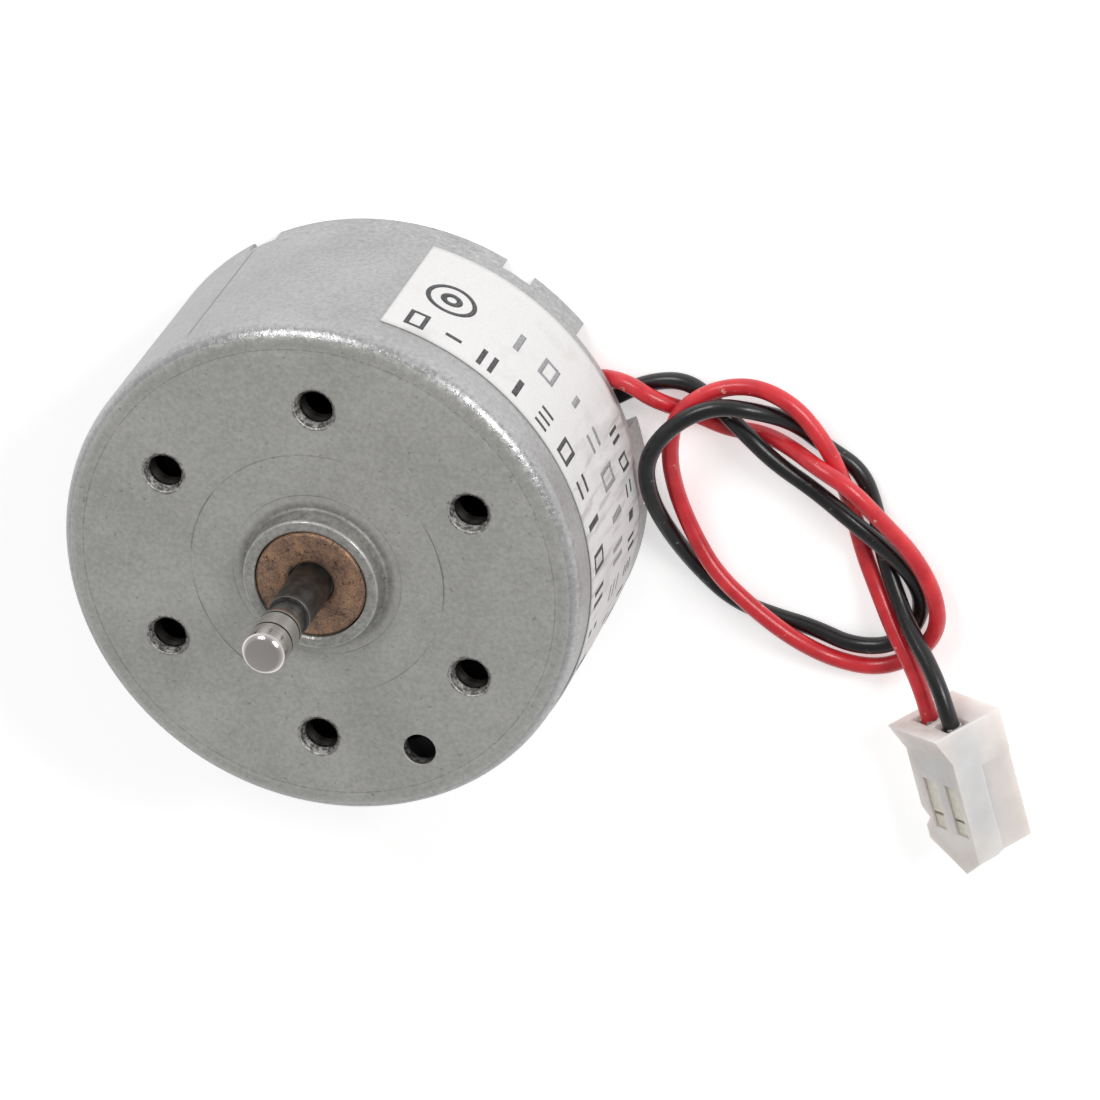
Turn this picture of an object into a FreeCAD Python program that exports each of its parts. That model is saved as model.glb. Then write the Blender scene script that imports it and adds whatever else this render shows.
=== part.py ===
"""Small flat brushed direct-current motor with two leads tied in a loose knot and a two-way connector.

Millimetres. The origin is the centre of the can's rear rim, +Z runs along the shaft to its free end.
"""
import FreeCAD, Part
import Sketcher
import math
import os

Vector = FreeCAD.Vector

# Driving dimensions, written into the spreadsheet. Lengths in millimetres, angles in degrees.
DIMENSIONS = [
    ("can_radius", 18.4),
    ("can_height", 18.5),
    ("can_wall", 1.0),
    ("drill_depth", 1.5),
    ("can_rim_round", 1.3),
    ("boss_radius", 4.8),
    ("boss_height", 1.57),
    ("boss_root_round", 0.25),
    ("bore_radius", 4.0),
    ("screw_count", 6),
    ("screw_circle_radius", 12.5),
    ("screw_hole_radius", 1.25),
    ("screw_first_angle", 30),
    ("locating_hole_radius", 1.15),
    ("locating_circle_radius", 14.4),
    ("locating_angle", -60),
    ("lug_count", 6),
    ("lug_width", 2.1),
    ("lug_inner_radius", 15.9),
    ("lug_outer_radius", 18.0),
    ("lug_bottom", 0.95),
    ("lug_slot_width", 2.25),
    ("lug_slot_depth", 1.4),
    ("wire_notch_angle", 30),
    ("wire_notch_width", 7.65),
    ("wire_notch_depth", 2.1),
    ("front_bush_radius", 3.95),
    ("front_bush_setback", 0.1),
    ("front_bush_flange_radius", 5.4),
    ("front_bush_flange", 0.8),
    ("bush_bore_radius", 1.53),
    ("bush_mouth", 0.25),
    ("rear_plate_bottom", 1.9),
    ("rear_plate_thick", 0.8),
    ("rear_plate_hole_radius", 4.3),
    ("rear_slot_length", 6.4),
    ("rear_slot_width", 3.6),
    ("end_cap_thick", 1.6),
    ("end_cap_boss_radius", 4.2),
    ("end_cap_boss_bottom", 0.9),
    ("end_cap_floor", 0.4),
    ("rear_bush_radius", 2.6),
    ("thrust_disc_thick", 0.4),
    ("fit_gap", 0.05),
    ("shaft_radius", 1.5),
    ("shaft_tip", 30.5),
    ("shaft_tip_chamfer", 0.35),
    ("tip_groove_height", 24.7),
    ("tip_groove_width", 1.4),
    ("oil_groove_height", 19.5),
    ("oil_groove_width", 0.6),
    ("shaft_groove_depth", 0.25),
    ("magnet_outer_radius", 17.3),
    ("magnet_inner_radius", 14.3),
    ("magnet_bottom", 5.2),
    ("magnet_height", 11.2),
    ("magnet_span", 140),
    ("clip_thick", 0.5),
    ("clip_height", 9.0),
    ("clip_span", 32),
    ("core_bottom", 10.1),
    ("core_height", 4.4),
    ("core_radius", 13.8),
    ("core_hub_radius", 4.6),
    ("core_arm_width", 4.0),
    ("core_arm_length", 12.6),
    ("core_shoe_thick", 1.9),
    ("core_shoe_span", 104),
    ("insulator_thick", 0.4),
    ("insulator_lip", 0.5),
    ("coil_inner_reach", 5.5),
    ("coil_depth", 5.7),
    ("coil_build", 1.7),
    ("pole_count", 3),
    ("hub_radius", 2.6),
    ("commutator_radius", 3.1),
    ("commutator_bottom", 5.0),
    ("commutator_height", 2.9),
    ("segment_span", 114),
    ("varistor_radius", 5.6),
    ("varistor_thick", 0.7),
    ("spacer_radius", 2.4),
    ("brush_gap", 0.06),
    ("brush_curve_depth", 0.24),
    ("brush_length", 3.2),
    ("brush_width", 2.0),
    ("brush_height", 2.3),
    ("brush_bottom", 5.2),
    ("brush_arm_thick", 0.3),
    ("brush_arm_near_reach", 9.35),
    ("brush_arm_far_reach", 11.85),
    ("terminal_red_x", 9.0),
    ("terminal_red_y", 6.05),
    ("terminal_black_x", 10.85),
    ("terminal_black_y", 2.7),
    ("terminal_width", 1.1),
    ("terminal_thick", 0.4),
    ("terminal_bottom", 0.45),
    ("solder_radius", 0.8),
    ("solder_bead_length", 1.12),
    ("board_bottom", 1.5),
    ("board_thick", 0.35),
    ("board_length", 7.6),
    ("board_width", 4.4),
    ("board_angle", -60),
    ("board_centre_x", 10.2),
    ("board_centre_y", 4.5),
    ("label_gap", 0.01),
    ("label_thick", 0.1),
    ("label_bottom", 2.9),
    ("label_height", 12.3),
    ("label_start", -80),
    ("label_span", 158.5),
    ("lead_diameter", 1.2),
    ("lead_level", 0.85),
    ("pitch", 2.5),
    ("housing_length", 10.0),
    ("housing_black_side", 2.5),
    ("housing_red_side", 3.1),
    ("housing_window_side", 1.4),
    ("housing_floor_side", 3.4),
    ("housing_tongue", 1.4),
    ("housing_tongue_tip", 0.5),
    ("housing_tongue_slant", 29),
    ("housing_tongue_back", 33),
    ("housing_tongue_thick", 1.9),
    ("housing_lip", 0.95),
    ("housing_lip_foot", 0.05),
    ("housing_lip_length", 2.2),
    ("cavity_width", 1.9),
    ("window_width", 1.5),
    ("window_start", 4.3),
    ("window_length", 4.0),
    ("contact_start", 1.5),
    ("contact_barrel_length", 2.3),
    ("contact_box_length", 4.6),
    ("contact_width", 1.6),
    ("contact_bore", 1.0),
    ("entry_x", 40.6),
    ("entry_y", -12.5),
    ("entry_z", 4.6),
    ("housing_heading", -164.4),
    ("housing_roll", 40),
]

# Routes of the two leads, from the solder joint out through the rim notch, round the loose knot and
# into the connector. Corner points of the runs, chosen by hand.
RED_ROUTE = [
    (9.8, 6.5, 0.85), (12.4, 7.8, 0.8), (15.0, 8.8, 0.8), (17.3, 9.1, 1.9), (19.3, 8.1, 2.15),
    (21.6, 6.8, 0.61), (24.2, 5.9, 0.61), (26.5, 5.9, 0.61), (28.7, 5.6, 1.5), (31.2, 5.1, 3.3),
    (33.6, 4.1, 3.8), (35.9, 1.5, 3.3), (37.8, -1.0, 2.4), (39.4, -3.9, 2.2), (39.7, -7.0, 1.6),
    (37.9, -9.9, 0.61), (35.2, -11.3, 0.61), (32.0, -10.8, 1.0), (29.2, -8.9, 2.1), (26.4, -6.9, 2.15),
    (23.8, -4.7, 2.0), (22.0, -2.0, 1.6), (20.7, 1.0, 1.5), (20.4, 4.3, 2.4), (20.9, 7.5, 2.8),
    (23.2, 9.5, 2.3), (26.2, 10.2, 2.06), (29.1, 9.1, 2.06), (31.2, 6.7, 2.06), (32.6, 4.0, 2.06),
    (33.1, 0.9, 0.61), (33.9, -2.2, 0.61), (35.2, -5.1, 1.0), (36.6, -7.4, 2.1), (38.0, -9.3, 2.8),
    (39.36, -11.6, 3.8), (40.08, -14.2, 3.8),
]
BLACK_ROUTE = [
    (11.4, 3.4, 0.85), (13.7, 5.4, 0.85), (16.0, 7.3, 0.75), (18.6, 8.8, 0.61), (21.3, 9.2, 0.61),
    (23.3, 7.7, 0.75), (25.6, 6.6, 2.15), (27.9, 4.6, 2.3), (30.8, 2.8, 2.2), (33.3, 1.3, 2.8),
    (35.7, -0.8, 2.3), (37.7, -3.5, 1.0), (38.4, -6.4, 0.61), (36.6, -9.2, 0.61), (33.5, -9.8, 0.61),
    (30.5, -8.7, 0.61), (27.7, -8.2, 0.61), (24.8, -7.4, 0.61), (22.3, -5.3, 0.61), (20.3, -2.1, 1.7),
    (19.2, 1.5, 3.3), (19.2, 4.6, 4.1), (21.0, 7.4, 4.2), (23.8, 9.0, 3.6), (26.6, 8.7, 3.0),
    (29.0, 7.3, 1.1), (31.2, 5.4, 0.61), (33.7, 4.0, 0.61), (34.8, 1.0, 0.61), (35.3, -2.0, 0.61),
    (36.4, -4.5, 1.3), (37.9, -6.9, 2.7), (39.7, -8.7, 4.1), (41.21, -11.08, 5.4), (41.93, -13.68, 5.4),
]

EDGE_TOLERANCE = 1e-4   # how near an edge has to be to a radius and a height to be picked for a fillet
ARC_SHARE = 0.45        # part of the shorter run that an arc of a lead takes up on each side of its corner

doc = FreeCAD.newDocument("flat_motor")
sheet = doc.addObject("Spreadsheet::Sheet", "Dims")
sub_parts = []          # finished sub-parts, in the order they are made


# ---------------------------------------------------------------- helpers

def fill_sheet():
    """Write every driving dimension into its own cell, with the dimension's word as the alias."""
    for row, (word, value) in enumerate(DIMENSIONS, start=1):
        sheet.set(f"A{row}", word)
        sheet.set(f"B{row}", str(value))
        sheet.setAlias(f"B{row}", word)
    doc.recompute()


def size(word):
    """A driving dimension's value, for geometry that Part's own functions make."""
    return float(sheet.get(word))


def bound(words):
    """Turn a formula in the sheet's words into one that names the sheet."""
    parts = words.split()
    return " ".join("Dims." + part if part[0].isalpha() and "(" not in part else part for part in parts)


def bind(thing, **formulas):
    """Bind properties to formulas, such as Radius="can_radius - can_wall"."""
    for name, words in formulas.items():
        thing.setExpression(name, bound(words))


def place(thing, across="", along="", up="", turn=""):
    """Bind a primitive's position and its turn about Z to formulas."""
    thing.Placement = FreeCAD.Placement(Vector(), FreeCAD.Rotation(Vector(0, 0, 1), 1))
    formulas = {"Base.x": across, "Base.y": along, "Base.z": up}
    for path, words in formulas.items():
        if words:
            thing.setExpression("Placement." + path, bound(words))
    thing.setExpression("Placement.Rotation.Angle", bound(turn) if turn else "0")
    return thing


def cylinder(name, radius, height, up="", span="", turn="", across="", along=""):
    """A cylinder about Z, or a sector of one when a span is given."""
    thing = doc.addObject("Part::Cylinder", name)
    bind(thing, Radius=radius, Height=height)
    if span:
        bind(thing, Angle=span)
    return place(thing, across=across, along=along, up=up, turn=turn)


def block(name, length, width, height, across="", along="", up="", turn=""):
    """A box whose corner is at the given place."""
    thing = doc.addObject("Part::Box", name)
    bind(thing, Length=length, Width=width, Height=height)
    return place(thing, across=across, along=along, up=up, turn=turn)


def along_turn(distance, turn):
    """Formulas for the point at a distance from the axis, in the direction of a turn about Z."""
    return (f"( {distance} ) * cos( ( {turn} ) * 1deg )", f"( {distance} ) * sin( ( {turn} ) * 1deg )")


def turned_block(name, length, width, height, middle, up, turn="0"):
    """A box with its middle at a pair of formulas, turned about its middle."""
    ahead = along_turn(f"( {length} ) / 2", turn)
    aside = along_turn(f"( {width} ) / 2", turn)
    return block(name, length, width, height, across=f"{middle[0]} - {ahead[0]} + {aside[1]}",
                 along=f"{middle[1]} - {ahead[1]} - {aside[0]}", up=up, turn=turn)


def cut(name, base, tool):
    thing = doc.addObject("Part::Cut", name)
    thing.Base = base
    thing.Tool = tool
    return thing


def fuse(name, *pieces):
    thing = doc.addObject("Part::MultiFuse", name)
    thing.Shapes = list(pieces)
    thing.Refine = True
    return thing


def finish(label, thing):
    """Name a finished sub-part and put it on the list that is written out."""
    doc.recompute()
    thing.Label = label
    sub_parts.append(thing)
    return thing


def origin_plane(body, role):
    return next(item for item in body.Origin.OriginFeatures if item.Role == role)


def new_sketch(body, name, role, up="", turn=""):
    """A sketch on one of its own body's origin planes, lifted and turned by formulas."""
    sketch = body.newObject("Sketcher::SketchObject", name)
    sketch.AttachmentSupport = (origin_plane(body, role), [""])
    sketch.MapMode = "FlatFace"
    sketch.AttachmentOffset = FreeCAD.Placement(Vector(), FreeCAD.Rotation(Vector(0, 0, 1), 1))
    sketch.setExpression("AttachmentOffset.Rotation.Angle", bound(turn) if turn else "0")
    if up:
        sketch.setExpression("AttachmentOffset.Base.z", bound(up))
    return sketch


def closed_outline(sketch, corners):
    """A closed outline of straight lines. Each corner is a pair of formulas, across and up.

    The corners start on a circle, in order, and the constraints then move them to their places.
    """
    count = len(corners)
    step = 2 * math.pi / count
    start = [Vector(2 + math.cos(step * k), 2 + math.sin(step * k), 0) for k in range(count)]
    for k in range(count):
        sketch.addGeometry(Part.LineSegment(start[k], start[(k + 1) % count]), False)
    for k in range(count):
        sketch.addConstraint(Sketcher.Constraint("Coincident", k, 2, (k + 1) % count, 1))
    for k, (across, up) in enumerate(corners):
        for kind, words, axis in (("DistanceX", across, -2), ("DistanceY", up, -1)):
            if words == "0":
                sketch.addConstraint(Sketcher.Constraint("PointOnObject", k, 1, axis))
                continue
            index = sketch.addConstraint(Sketcher.Constraint(kind, -1, 1, k, 1, 1.0 + k))
            sketch.setExpression(f"Constraints[{index}]", bound(words))


def centred_rectangle(sketch, near, far, width):
    """A rectangle from near to far along the sketch's X, centred on it."""
    closed_outline(sketch, [(near, f"0 - {width} / 2"), (far, f"0 - {width} / 2"),
                            (far, f"{width} / 2"), (near, f"{width} / 2")])


def circle_at(sketch, across, radius):
    """A circle on the sketch's X axis."""
    sketch.addGeometry(Part.Circle(Vector(3, 0, 0), Vector(0, 0, 1), 1), False)
    sketch.addConstraint(Sketcher.Constraint("PointOnObject", 0, 3, -1))
    place_index = sketch.addConstraint(Sketcher.Constraint("DistanceX", -1, 1, 0, 3, 3.0))
    radius_index = sketch.addConstraint(Sketcher.Constraint("Radius", 0, 1.0))
    sketch.setExpression(f"Constraints[{place_index}]", bound(across))
    sketch.setExpression(f"Constraints[{radius_index}]", bound(radius))


def turned_body(label, corners):
    """A body turned about Z from an outline of radius and height formulas."""
    body = doc.addObject("PartDesign::Body", label + "_body")
    sketch = new_sketch(body, label + "_outline", "XZ_Plane")
    closed_outline(sketch, corners)
    turn = body.newObject("PartDesign::Revolution", label + "_turned")
    turn.Profile = sketch
    turn.ReferenceAxis = (sketch, ["V_Axis"])
    turn.Angle = 360
    doc.recompute()
    return body


def pocket(body, sketch, name, depth, upwards):
    """Cut a pocket and make sure that it takes something away."""
    before = body.Shape.Volume
    feature = body.newObject("PartDesign::Pocket", name)
    feature.Profile = sketch
    feature.Reversed = upwards
    feature.setExpression("Length", bound(depth))
    doc.recompute()
    if body.Shape.Volume >= before:
        raise RuntimeError(name + " cuts nothing")
    return feature


def pattern(body, name, features, count):
    """Repeat features evenly about Z."""
    feature = body.newObject("PartDesign::PolarPattern", name)
    feature.Originals = features
    feature.Axis = (features[0].Profile[0], ["N_Axis"])
    feature.Angle = 360
    feature.setExpression("Occurrences", bound(count))
    body.Tip = feature
    doc.recompute()
    return feature


def circle_edges(shape, radius, height):
    """Names of the circular edges about Z with this radius at this height."""
    names = []
    for number, edge in enumerate(shape.Edges, start=1):
        curve = edge.Curve
        if isinstance(curve, Part.Circle) and abs(curve.Radius - radius) < EDGE_TOLERANCE:
            if abs(curve.Center.z - height) < EDGE_TOLERANCE:
                names.append(f"Edge{number}")
    return names


def round_edges(body, name, radius, height, round_word):
    """Fillet the circular edge of this radius at this height."""
    base = body.Tip
    names = circle_edges(base.Shape, radius, height)
    feature = body.newObject("PartDesign::Fillet", name)
    feature.Base = (base, names)
    feature.setExpression("Radius", bound(round_word))
    body.Tip = feature
    doc.recompute()


# ---------------------------------------------------------------- stator

def make_can():
    """Drawn steel can: open at the rear, with the bearing boss drawn up from the front face."""
    body = turned_body("can", [
        ("can_radius - can_wall", "0"), ("can_radius", "0"), ("can_radius", "can_height"),
        ("boss_radius", "can_height"), ("boss_radius", "can_height + boss_height"),
        ("bore_radius", "can_height + boss_height"), ("bore_radius", "can_height - can_wall"),
        ("can_radius - can_wall", "can_height - can_wall")])
    round_edges(body, "can_rim_fillet", size("can_radius"), size("can_height"), "can_rim_round")
    round_edges(body, "can_root_fillet", size("boss_radius"), size("can_height"), "boss_root_round")

    screw = new_sketch(body, "screw_hole_outline", "XY_Plane", up="can_height", turn="screw_first_angle")
    circle_at(screw, "screw_circle_radius", "screw_hole_radius")
    hole = pocket(body, screw, "screw_hole", "drill_depth", upwards=False)
    pattern(body, "screw_holes", [hole], "screw_count")

    locating = new_sketch(body, "locating_outline", "XY_Plane", up="can_height", turn="locating_angle")
    circle_at(locating, "locating_circle_radius", "locating_hole_radius")
    pocket(body, locating, "locating_hole", "drill_depth", upwards=False)

    exit_notch = new_sketch(body, "wire_notch_outline", "XY_Plane", turn="wire_notch_angle")
    centred_rectangle(exit_notch, "can_radius - can_wall * 2", "can_radius + can_wall", "wire_notch_width")
    pocket(body, exit_notch, "wire_notch", "wire_notch_depth", upwards=True)

    slot = new_sketch(body, "lug_slot_outline", "XY_Plane")
    centred_rectangle(slot, "can_radius - can_wall * 2", "can_radius + can_wall", "lug_slot_width")
    slots = pocket(body, slot, "lug_slot", "lug_slot_depth", upwards=True)
    pattern(body, "lug_slots", [slots], "lug_count")

    lug = new_sketch(body, "lug_outline", "XY_Plane", up="lug_bottom")
    centred_rectangle(lug, "lug_inner_radius", "lug_outer_radius", "lug_width")
    lugs = body.newObject("PartDesign::Pad", "lug")
    lugs.Profile = lug
    lugs.setExpression("Length", bound("rear_plate_bottom - lug_bottom"))
    doc.recompute()
    pattern(body, "lugs", [lugs], "lug_count")
    return finish("can", body)


def make_front_bush():
    """Sintered bronze bush pressed into the boss, flanged behind the front plate."""
    top = "can_height + boss_height - front_bush_setback"
    flange_top = "can_height - can_wall"
    body = turned_body("front_bush", [
        ("bush_bore_radius", "can_height - can_wall - front_bush_flange"),
        ("front_bush_flange_radius", "can_height - can_wall - front_bush_flange"),
        ("front_bush_flange_radius", flange_top), ("front_bush_radius", flange_top),
        ("front_bush_radius", top), ("bush_bore_radius + bush_mouth", top),
        ("bush_bore_radius", top + " - bush_mouth")])
    return finish("front_bush", body)


def make_magnets():
    """Two arc magnets inside the can, and the two spring clips that hold them apart."""
    for name, middle in (("magnet_north", "90"), ("magnet_south", "270")):
        turn = f"{middle} - magnet_span / 2"
        outer = cylinder(name + "_outer", "magnet_outer_radius", "magnet_height",
                         up="magnet_bottom", span="magnet_span", turn=turn)
        inner = cylinder(name + "_inner", "magnet_inner_radius", "magnet_height", up="magnet_bottom")
        finish(name, cut(name, outer, inner))
    for number, middle in enumerate(("0", "180"), start=1):
        name = f"magnet_clip_{number}"
        turn = f"{middle} - clip_span / 2"
        outer = cylinder(name + "_outer", "magnet_outer_radius", "clip_height",
                         up="magnet_bottom", span="clip_span", turn=turn)
        inner = cylinder(name + "_inner", "magnet_outer_radius - clip_thick", "clip_height",
                         up="magnet_bottom")
        finish(name, cut(name, outer, inner))


def make_rear_plate():
    """Steel disc that the crimp lugs hold in, with a hole for the bearing boss and a terminal slot."""
    disc = cylinder("rear_plate_disc", "magnet_outer_radius", "rear_plate_thick", up="rear_plate_bottom")
    hole = cylinder("rear_plate_hole", "rear_plate_hole_radius", "rear_plate_thick",
                    up="rear_plate_bottom")
    between = ("( terminal_red_x + terminal_black_x ) / 2", "( terminal_red_y + terminal_black_y ) / 2")
    slot = turned_block("rear_plate_slot", "rear_slot_length", "rear_slot_width", "rear_plate_thick",
                        between, up="rear_plate_bottom", turn="board_angle")
    openings = fuse("rear_plate_openings", hole, slot)
    return finish("rear_plate", cut("rear_plate_cut", disc, openings))


def make_end_cap():
    """Moulded end cap: a disc that carries the brushes and a boss that holds the rear bush."""
    top = "rear_plate_bottom + rear_plate_thick + end_cap_thick"
    seat = "rear_plate_bottom + rear_plate_thick"
    floor = "end_cap_boss_bottom + end_cap_floor"
    body = turned_body("end_cap", [
        ("0", "end_cap_boss_bottom"), ("end_cap_boss_radius", "end_cap_boss_bottom"),
        ("end_cap_boss_radius", seat), ("magnet_outer_radius", seat), ("magnet_outer_radius", top),
        ("rear_bush_radius", top), ("rear_bush_radius", floor), ("0", floor)])
    for name in ("red", "black"):
        sketch = new_sketch(body, f"terminal_{name}_outline", "XY_Plane", up=seat)
        across = f"terminal_{name}_x"
        along = f"terminal_{name}_y"
        closed_outline(sketch, [
            (f"{across} - terminal_thick / 2", f"{along} - terminal_width / 2"),
            (f"{across} + terminal_thick / 2", f"{along} - terminal_width / 2"),
            (f"{across} + terminal_thick / 2", f"{along} + terminal_width / 2"),
            (f"{across} - terminal_thick / 2", f"{along} + terminal_width / 2")])
        pocket(body, sketch, f"terminal_{name}_slot", "end_cap_thick", upwards=True)
    return finish("end_cap", body)


def make_rear_bearing():
    """Rear bush and the nylon disc that takes the shaft's end."""
    floor = "end_cap_boss_bottom + end_cap_floor"
    top = "rear_plate_bottom + rear_plate_thick + end_cap_thick"
    disc = cylinder("thrust_disc_blank", "rear_bush_radius", "thrust_disc_thick", up=floor)
    finish("thrust_disc", disc)
    body = turned_body("rear_bush", [
        ("bush_bore_radius", floor + " + thrust_disc_thick"),
        ("rear_bush_radius", floor + " + thrust_disc_thick"),
        ("rear_bush_radius", top), ("bush_bore_radius + bush_mouth", top),
        ("bush_bore_radius", top + " - bush_mouth")])
    return finish("rear_bush", body)


def terminal_blade(name, side, top):
    """A flat brass blade that stands in the end cap."""
    return turned_block(name, "terminal_thick", "terminal_width", f"{top} - terminal_bottom",
                        (f"terminal_{side}_x", f"terminal_{side}_y"), up="terminal_bottom")


def make_terminals():
    """Two brass terminals, and the fibre board that they pass through."""
    top = "rear_plate_bottom + rear_plate_thick + end_cap_thick"
    for side in ("red", "black"):
        finish(f"terminal_{side}", terminal_blade(f"terminal_{side}_blade", side, top))
    board = turned_block("board_blank", "board_length", "board_width", "board_thick",
                         ("board_centre_x", "board_centre_y"), up="board_bottom", turn="board_angle")
    blades = fuse("board_slots", terminal_blade("board_slot_red", "red", top),
                  terminal_blade("board_slot_black", "black", top))
    return finish("terminal_board", cut("terminal_board_cut", board, blades))


def make_solder_joints():
    """A dome of solder at each terminal, cut round the blade and flat where the lead begins."""
    top = "rear_plate_bottom + rear_plate_thick + end_cap_thick"
    for side, route in (("red", RED_ROUTE), ("black", BLACK_ROUTE)):
        begin = Vector(*route[0])
        ahead = (Vector(*route[1]) - begin).normalize()
        dome = doc.addObject("Part::Sphere", f"solder_{side}_dome")
        bind(dome, Radius="solder_radius")
        place(dome, across=f"terminal_{side}_x", along=f"terminal_{side}_y", up="lead_level")
        bead = cylinder(f"solder_{side}_bead", "lead_diameter / 2", "solder_bead_length")
        bead.Placement = FreeCAD.Placement(begin, FreeCAD.Rotation(Vector(0, 0, 1), ahead.negative()))
        for path in ("Base.x", "Base.y", "Base.z", "Rotation.Angle"):
            bead.setExpression("Placement." + path, None)
        blob = fuse(f"solder_{side}_blob", dome, bead)
        blade = terminal_blade(f"solder_{side}_blade", side, top)
        above = turned_block(f"solder_{side}_above", "board_length", "board_length", "board_length",
                             (f"terminal_{side}_x", f"terminal_{side}_y"), up="board_bottom")
        rest = fuse(f"solder_{side}_rest", blade, above)
        finish(f"solder_{side}", cut(f"solder_{side}_cut", blob, rest))


def make_brushes():
    """Two carbon brushes on opposite sides of the commutator, and the leaf springs that carry them."""
    reach = "commutator_radius + brush_gap"
    back = reach + " + brush_length"
    cap_top = "rear_plate_bottom + rear_plate_thick + end_cap_thick"
    bore = cylinder("brush_bore", reach, "brush_height", up="brush_bottom")
    for number, along in enumerate((f"{reach} - brush_curve_depth", f"0 - ( {back} )"), start=1):
        blank = block(f"brush_{number}_blank", "brush_width", "brush_length + brush_curve_depth",
                      "brush_height", across="0 - brush_width / 2", along=along, up="brush_bottom")
        finish(f"brush_{number}", cut(f"brush_{number}_cut", blank, bore))
    tall = f"brush_bottom + brush_height - ( {cap_top} )"
    near_leaf = block("brush_arm_1_leaf", "brush_arm_near_reach + brush_width / 2", "brush_arm_thick", tall,
                      across="0 - brush_width / 2", along=back, up=cap_top)
    finish("brush_arm_1", near_leaf)
    far_leaf = block("brush_arm_2_leaf", "brush_arm_far_reach + brush_width / 2", "brush_arm_thick", tall,
                     across="0 - brush_width / 2", along=f"0 - ( {back} ) - brush_arm_thick", up=cap_top)
    link = block("brush_arm_2_link", "brush_arm_thick", f"terminal_black_y + {back} + brush_arm_thick", tall,
                 across="brush_arm_far_reach - brush_arm_thick",
                 along=f"0 - ( {back} ) - brush_arm_thick", up=cap_top)
    foot = block("brush_arm_2_foot", "brush_arm_far_reach - terminal_black_x", "terminal_width", tall,
                 across="terminal_black_x", along="terminal_black_y - terminal_width", up=cap_top)
    return finish("brush_arm_2", fuse("brush_arm_2_strip", far_leaf, link, foot))


def make_label():
    """Paper label wrapped round the can's side."""
    outer = cylinder("label_outer", "can_radius + label_gap + label_thick", "label_height",
                     up="label_bottom", span="label_span", turn="label_start")
    inner = cylinder("label_inner", "can_radius + label_gap", "label_height", up="label_bottom")
    return finish("label", cut("label_sheet", outer, inner))


# ---------------------------------------------------------------- rotor

def make_shaft():
    """Steel shaft with an oil-stop groove in the bush's mouth, a neck near its tip and chamfered ends."""
    bottom = "end_cap_boss_bottom + end_cap_floor + thrust_disc_thick + fit_gap"
    neck = "shaft_radius - shaft_groove_depth"
    body = turned_body("shaft", [
        ("0", bottom), ("shaft_radius - shaft_tip_chamfer", bottom),
        ("shaft_radius", bottom + " + shaft_tip_chamfer"),
        ("shaft_radius", "oil_groove_height"), (neck, "oil_groove_height"),
        (neck, "oil_groove_height + oil_groove_width"),
        ("shaft_radius", "oil_groove_height + oil_groove_width"),
        ("shaft_radius", "tip_groove_height"), (neck, "tip_groove_height"),
        (neck, "tip_groove_height + tip_groove_width"),
        ("shaft_radius", "tip_groove_height + tip_groove_width + shaft_groove_depth"),
        ("shaft_radius", "shaft_tip - shaft_tip_chamfer"),
        ("shaft_radius - shaft_tip_chamfer", "shaft_tip"), ("0", "shaft_tip")])
    return finish("shaft", body)


def rotor_star(name, bottom, height):
    """Hub, three arms and three curved pole shoes, as one plate of the given height."""
    pieces = [cylinder(name + "_hub", "core_hub_radius", height, up=bottom)]
    for number in range(int(size("pole_count"))):
        turn = f"360 / pole_count * {number}"
        arm = turned_block(f"{name}_arm_{number}", "core_arm_length", "core_arm_width", height,
                           along_turn("core_arm_length / 2", turn), up=bottom, turn=turn)
        shoe = cylinder(f"{name}_shoe_{number}", "core_radius", height, up=bottom,
                        span="core_shoe_span", turn=f"{turn} - core_shoe_span / 2")
        hollow = cylinder(f"{name}_hollow_{number}", "core_radius - core_shoe_thick", height, up=bottom)
        pieces += [arm, cut(f"{name}_pole_{number}", shoe, hollow)]
    bore = cylinder(name + "_bore", "shaft_radius", height, up=bottom)
    return cut(name + "_star", fuse(name + "_solid", *pieces), bore)


def make_core():
    """Laminated three-pole core and the two moulded insulators on its ends."""
    finish("rotor_core", rotor_star("core", "core_bottom", "core_height"))
    ends = (("insulator_rear", "core_bottom - insulator_thick"),
            ("insulator_front", "core_bottom + core_height"))
    for label, bottom in ends:
        finish(label, rotor_star(label, bottom, "insulator_thick"))


def make_coils():
    """Three copper coils, one round each arm of the core and its insulators."""
    inside_width = "core_arm_width + insulator_lip"
    inside_height = "core_height + insulator_thick * 2 + insulator_lip / 2"
    for number in range(int(size("pole_count"))):
        name = f"coil_{number + 1}"
        turn = f"360 / pole_count * {number}"
        middle = along_turn("coil_inner_reach + coil_depth / 2", turn)
        rings = []
        for part, sides, ends in (("outer", "coil_build * 2", "coil_build"), ("inner", "0", "0")):
            tall = f"{inside_height} + {ends}"
            rings.append(turned_block(f"{name}_{part}", "coil_depth", f"{inside_width} + {sides}", tall, middle,
                                      up=f"core_bottom + core_height / 2 - ( {tall} ) / 2", turn=turn))
        finish(name, cut(name, *rings))


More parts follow.
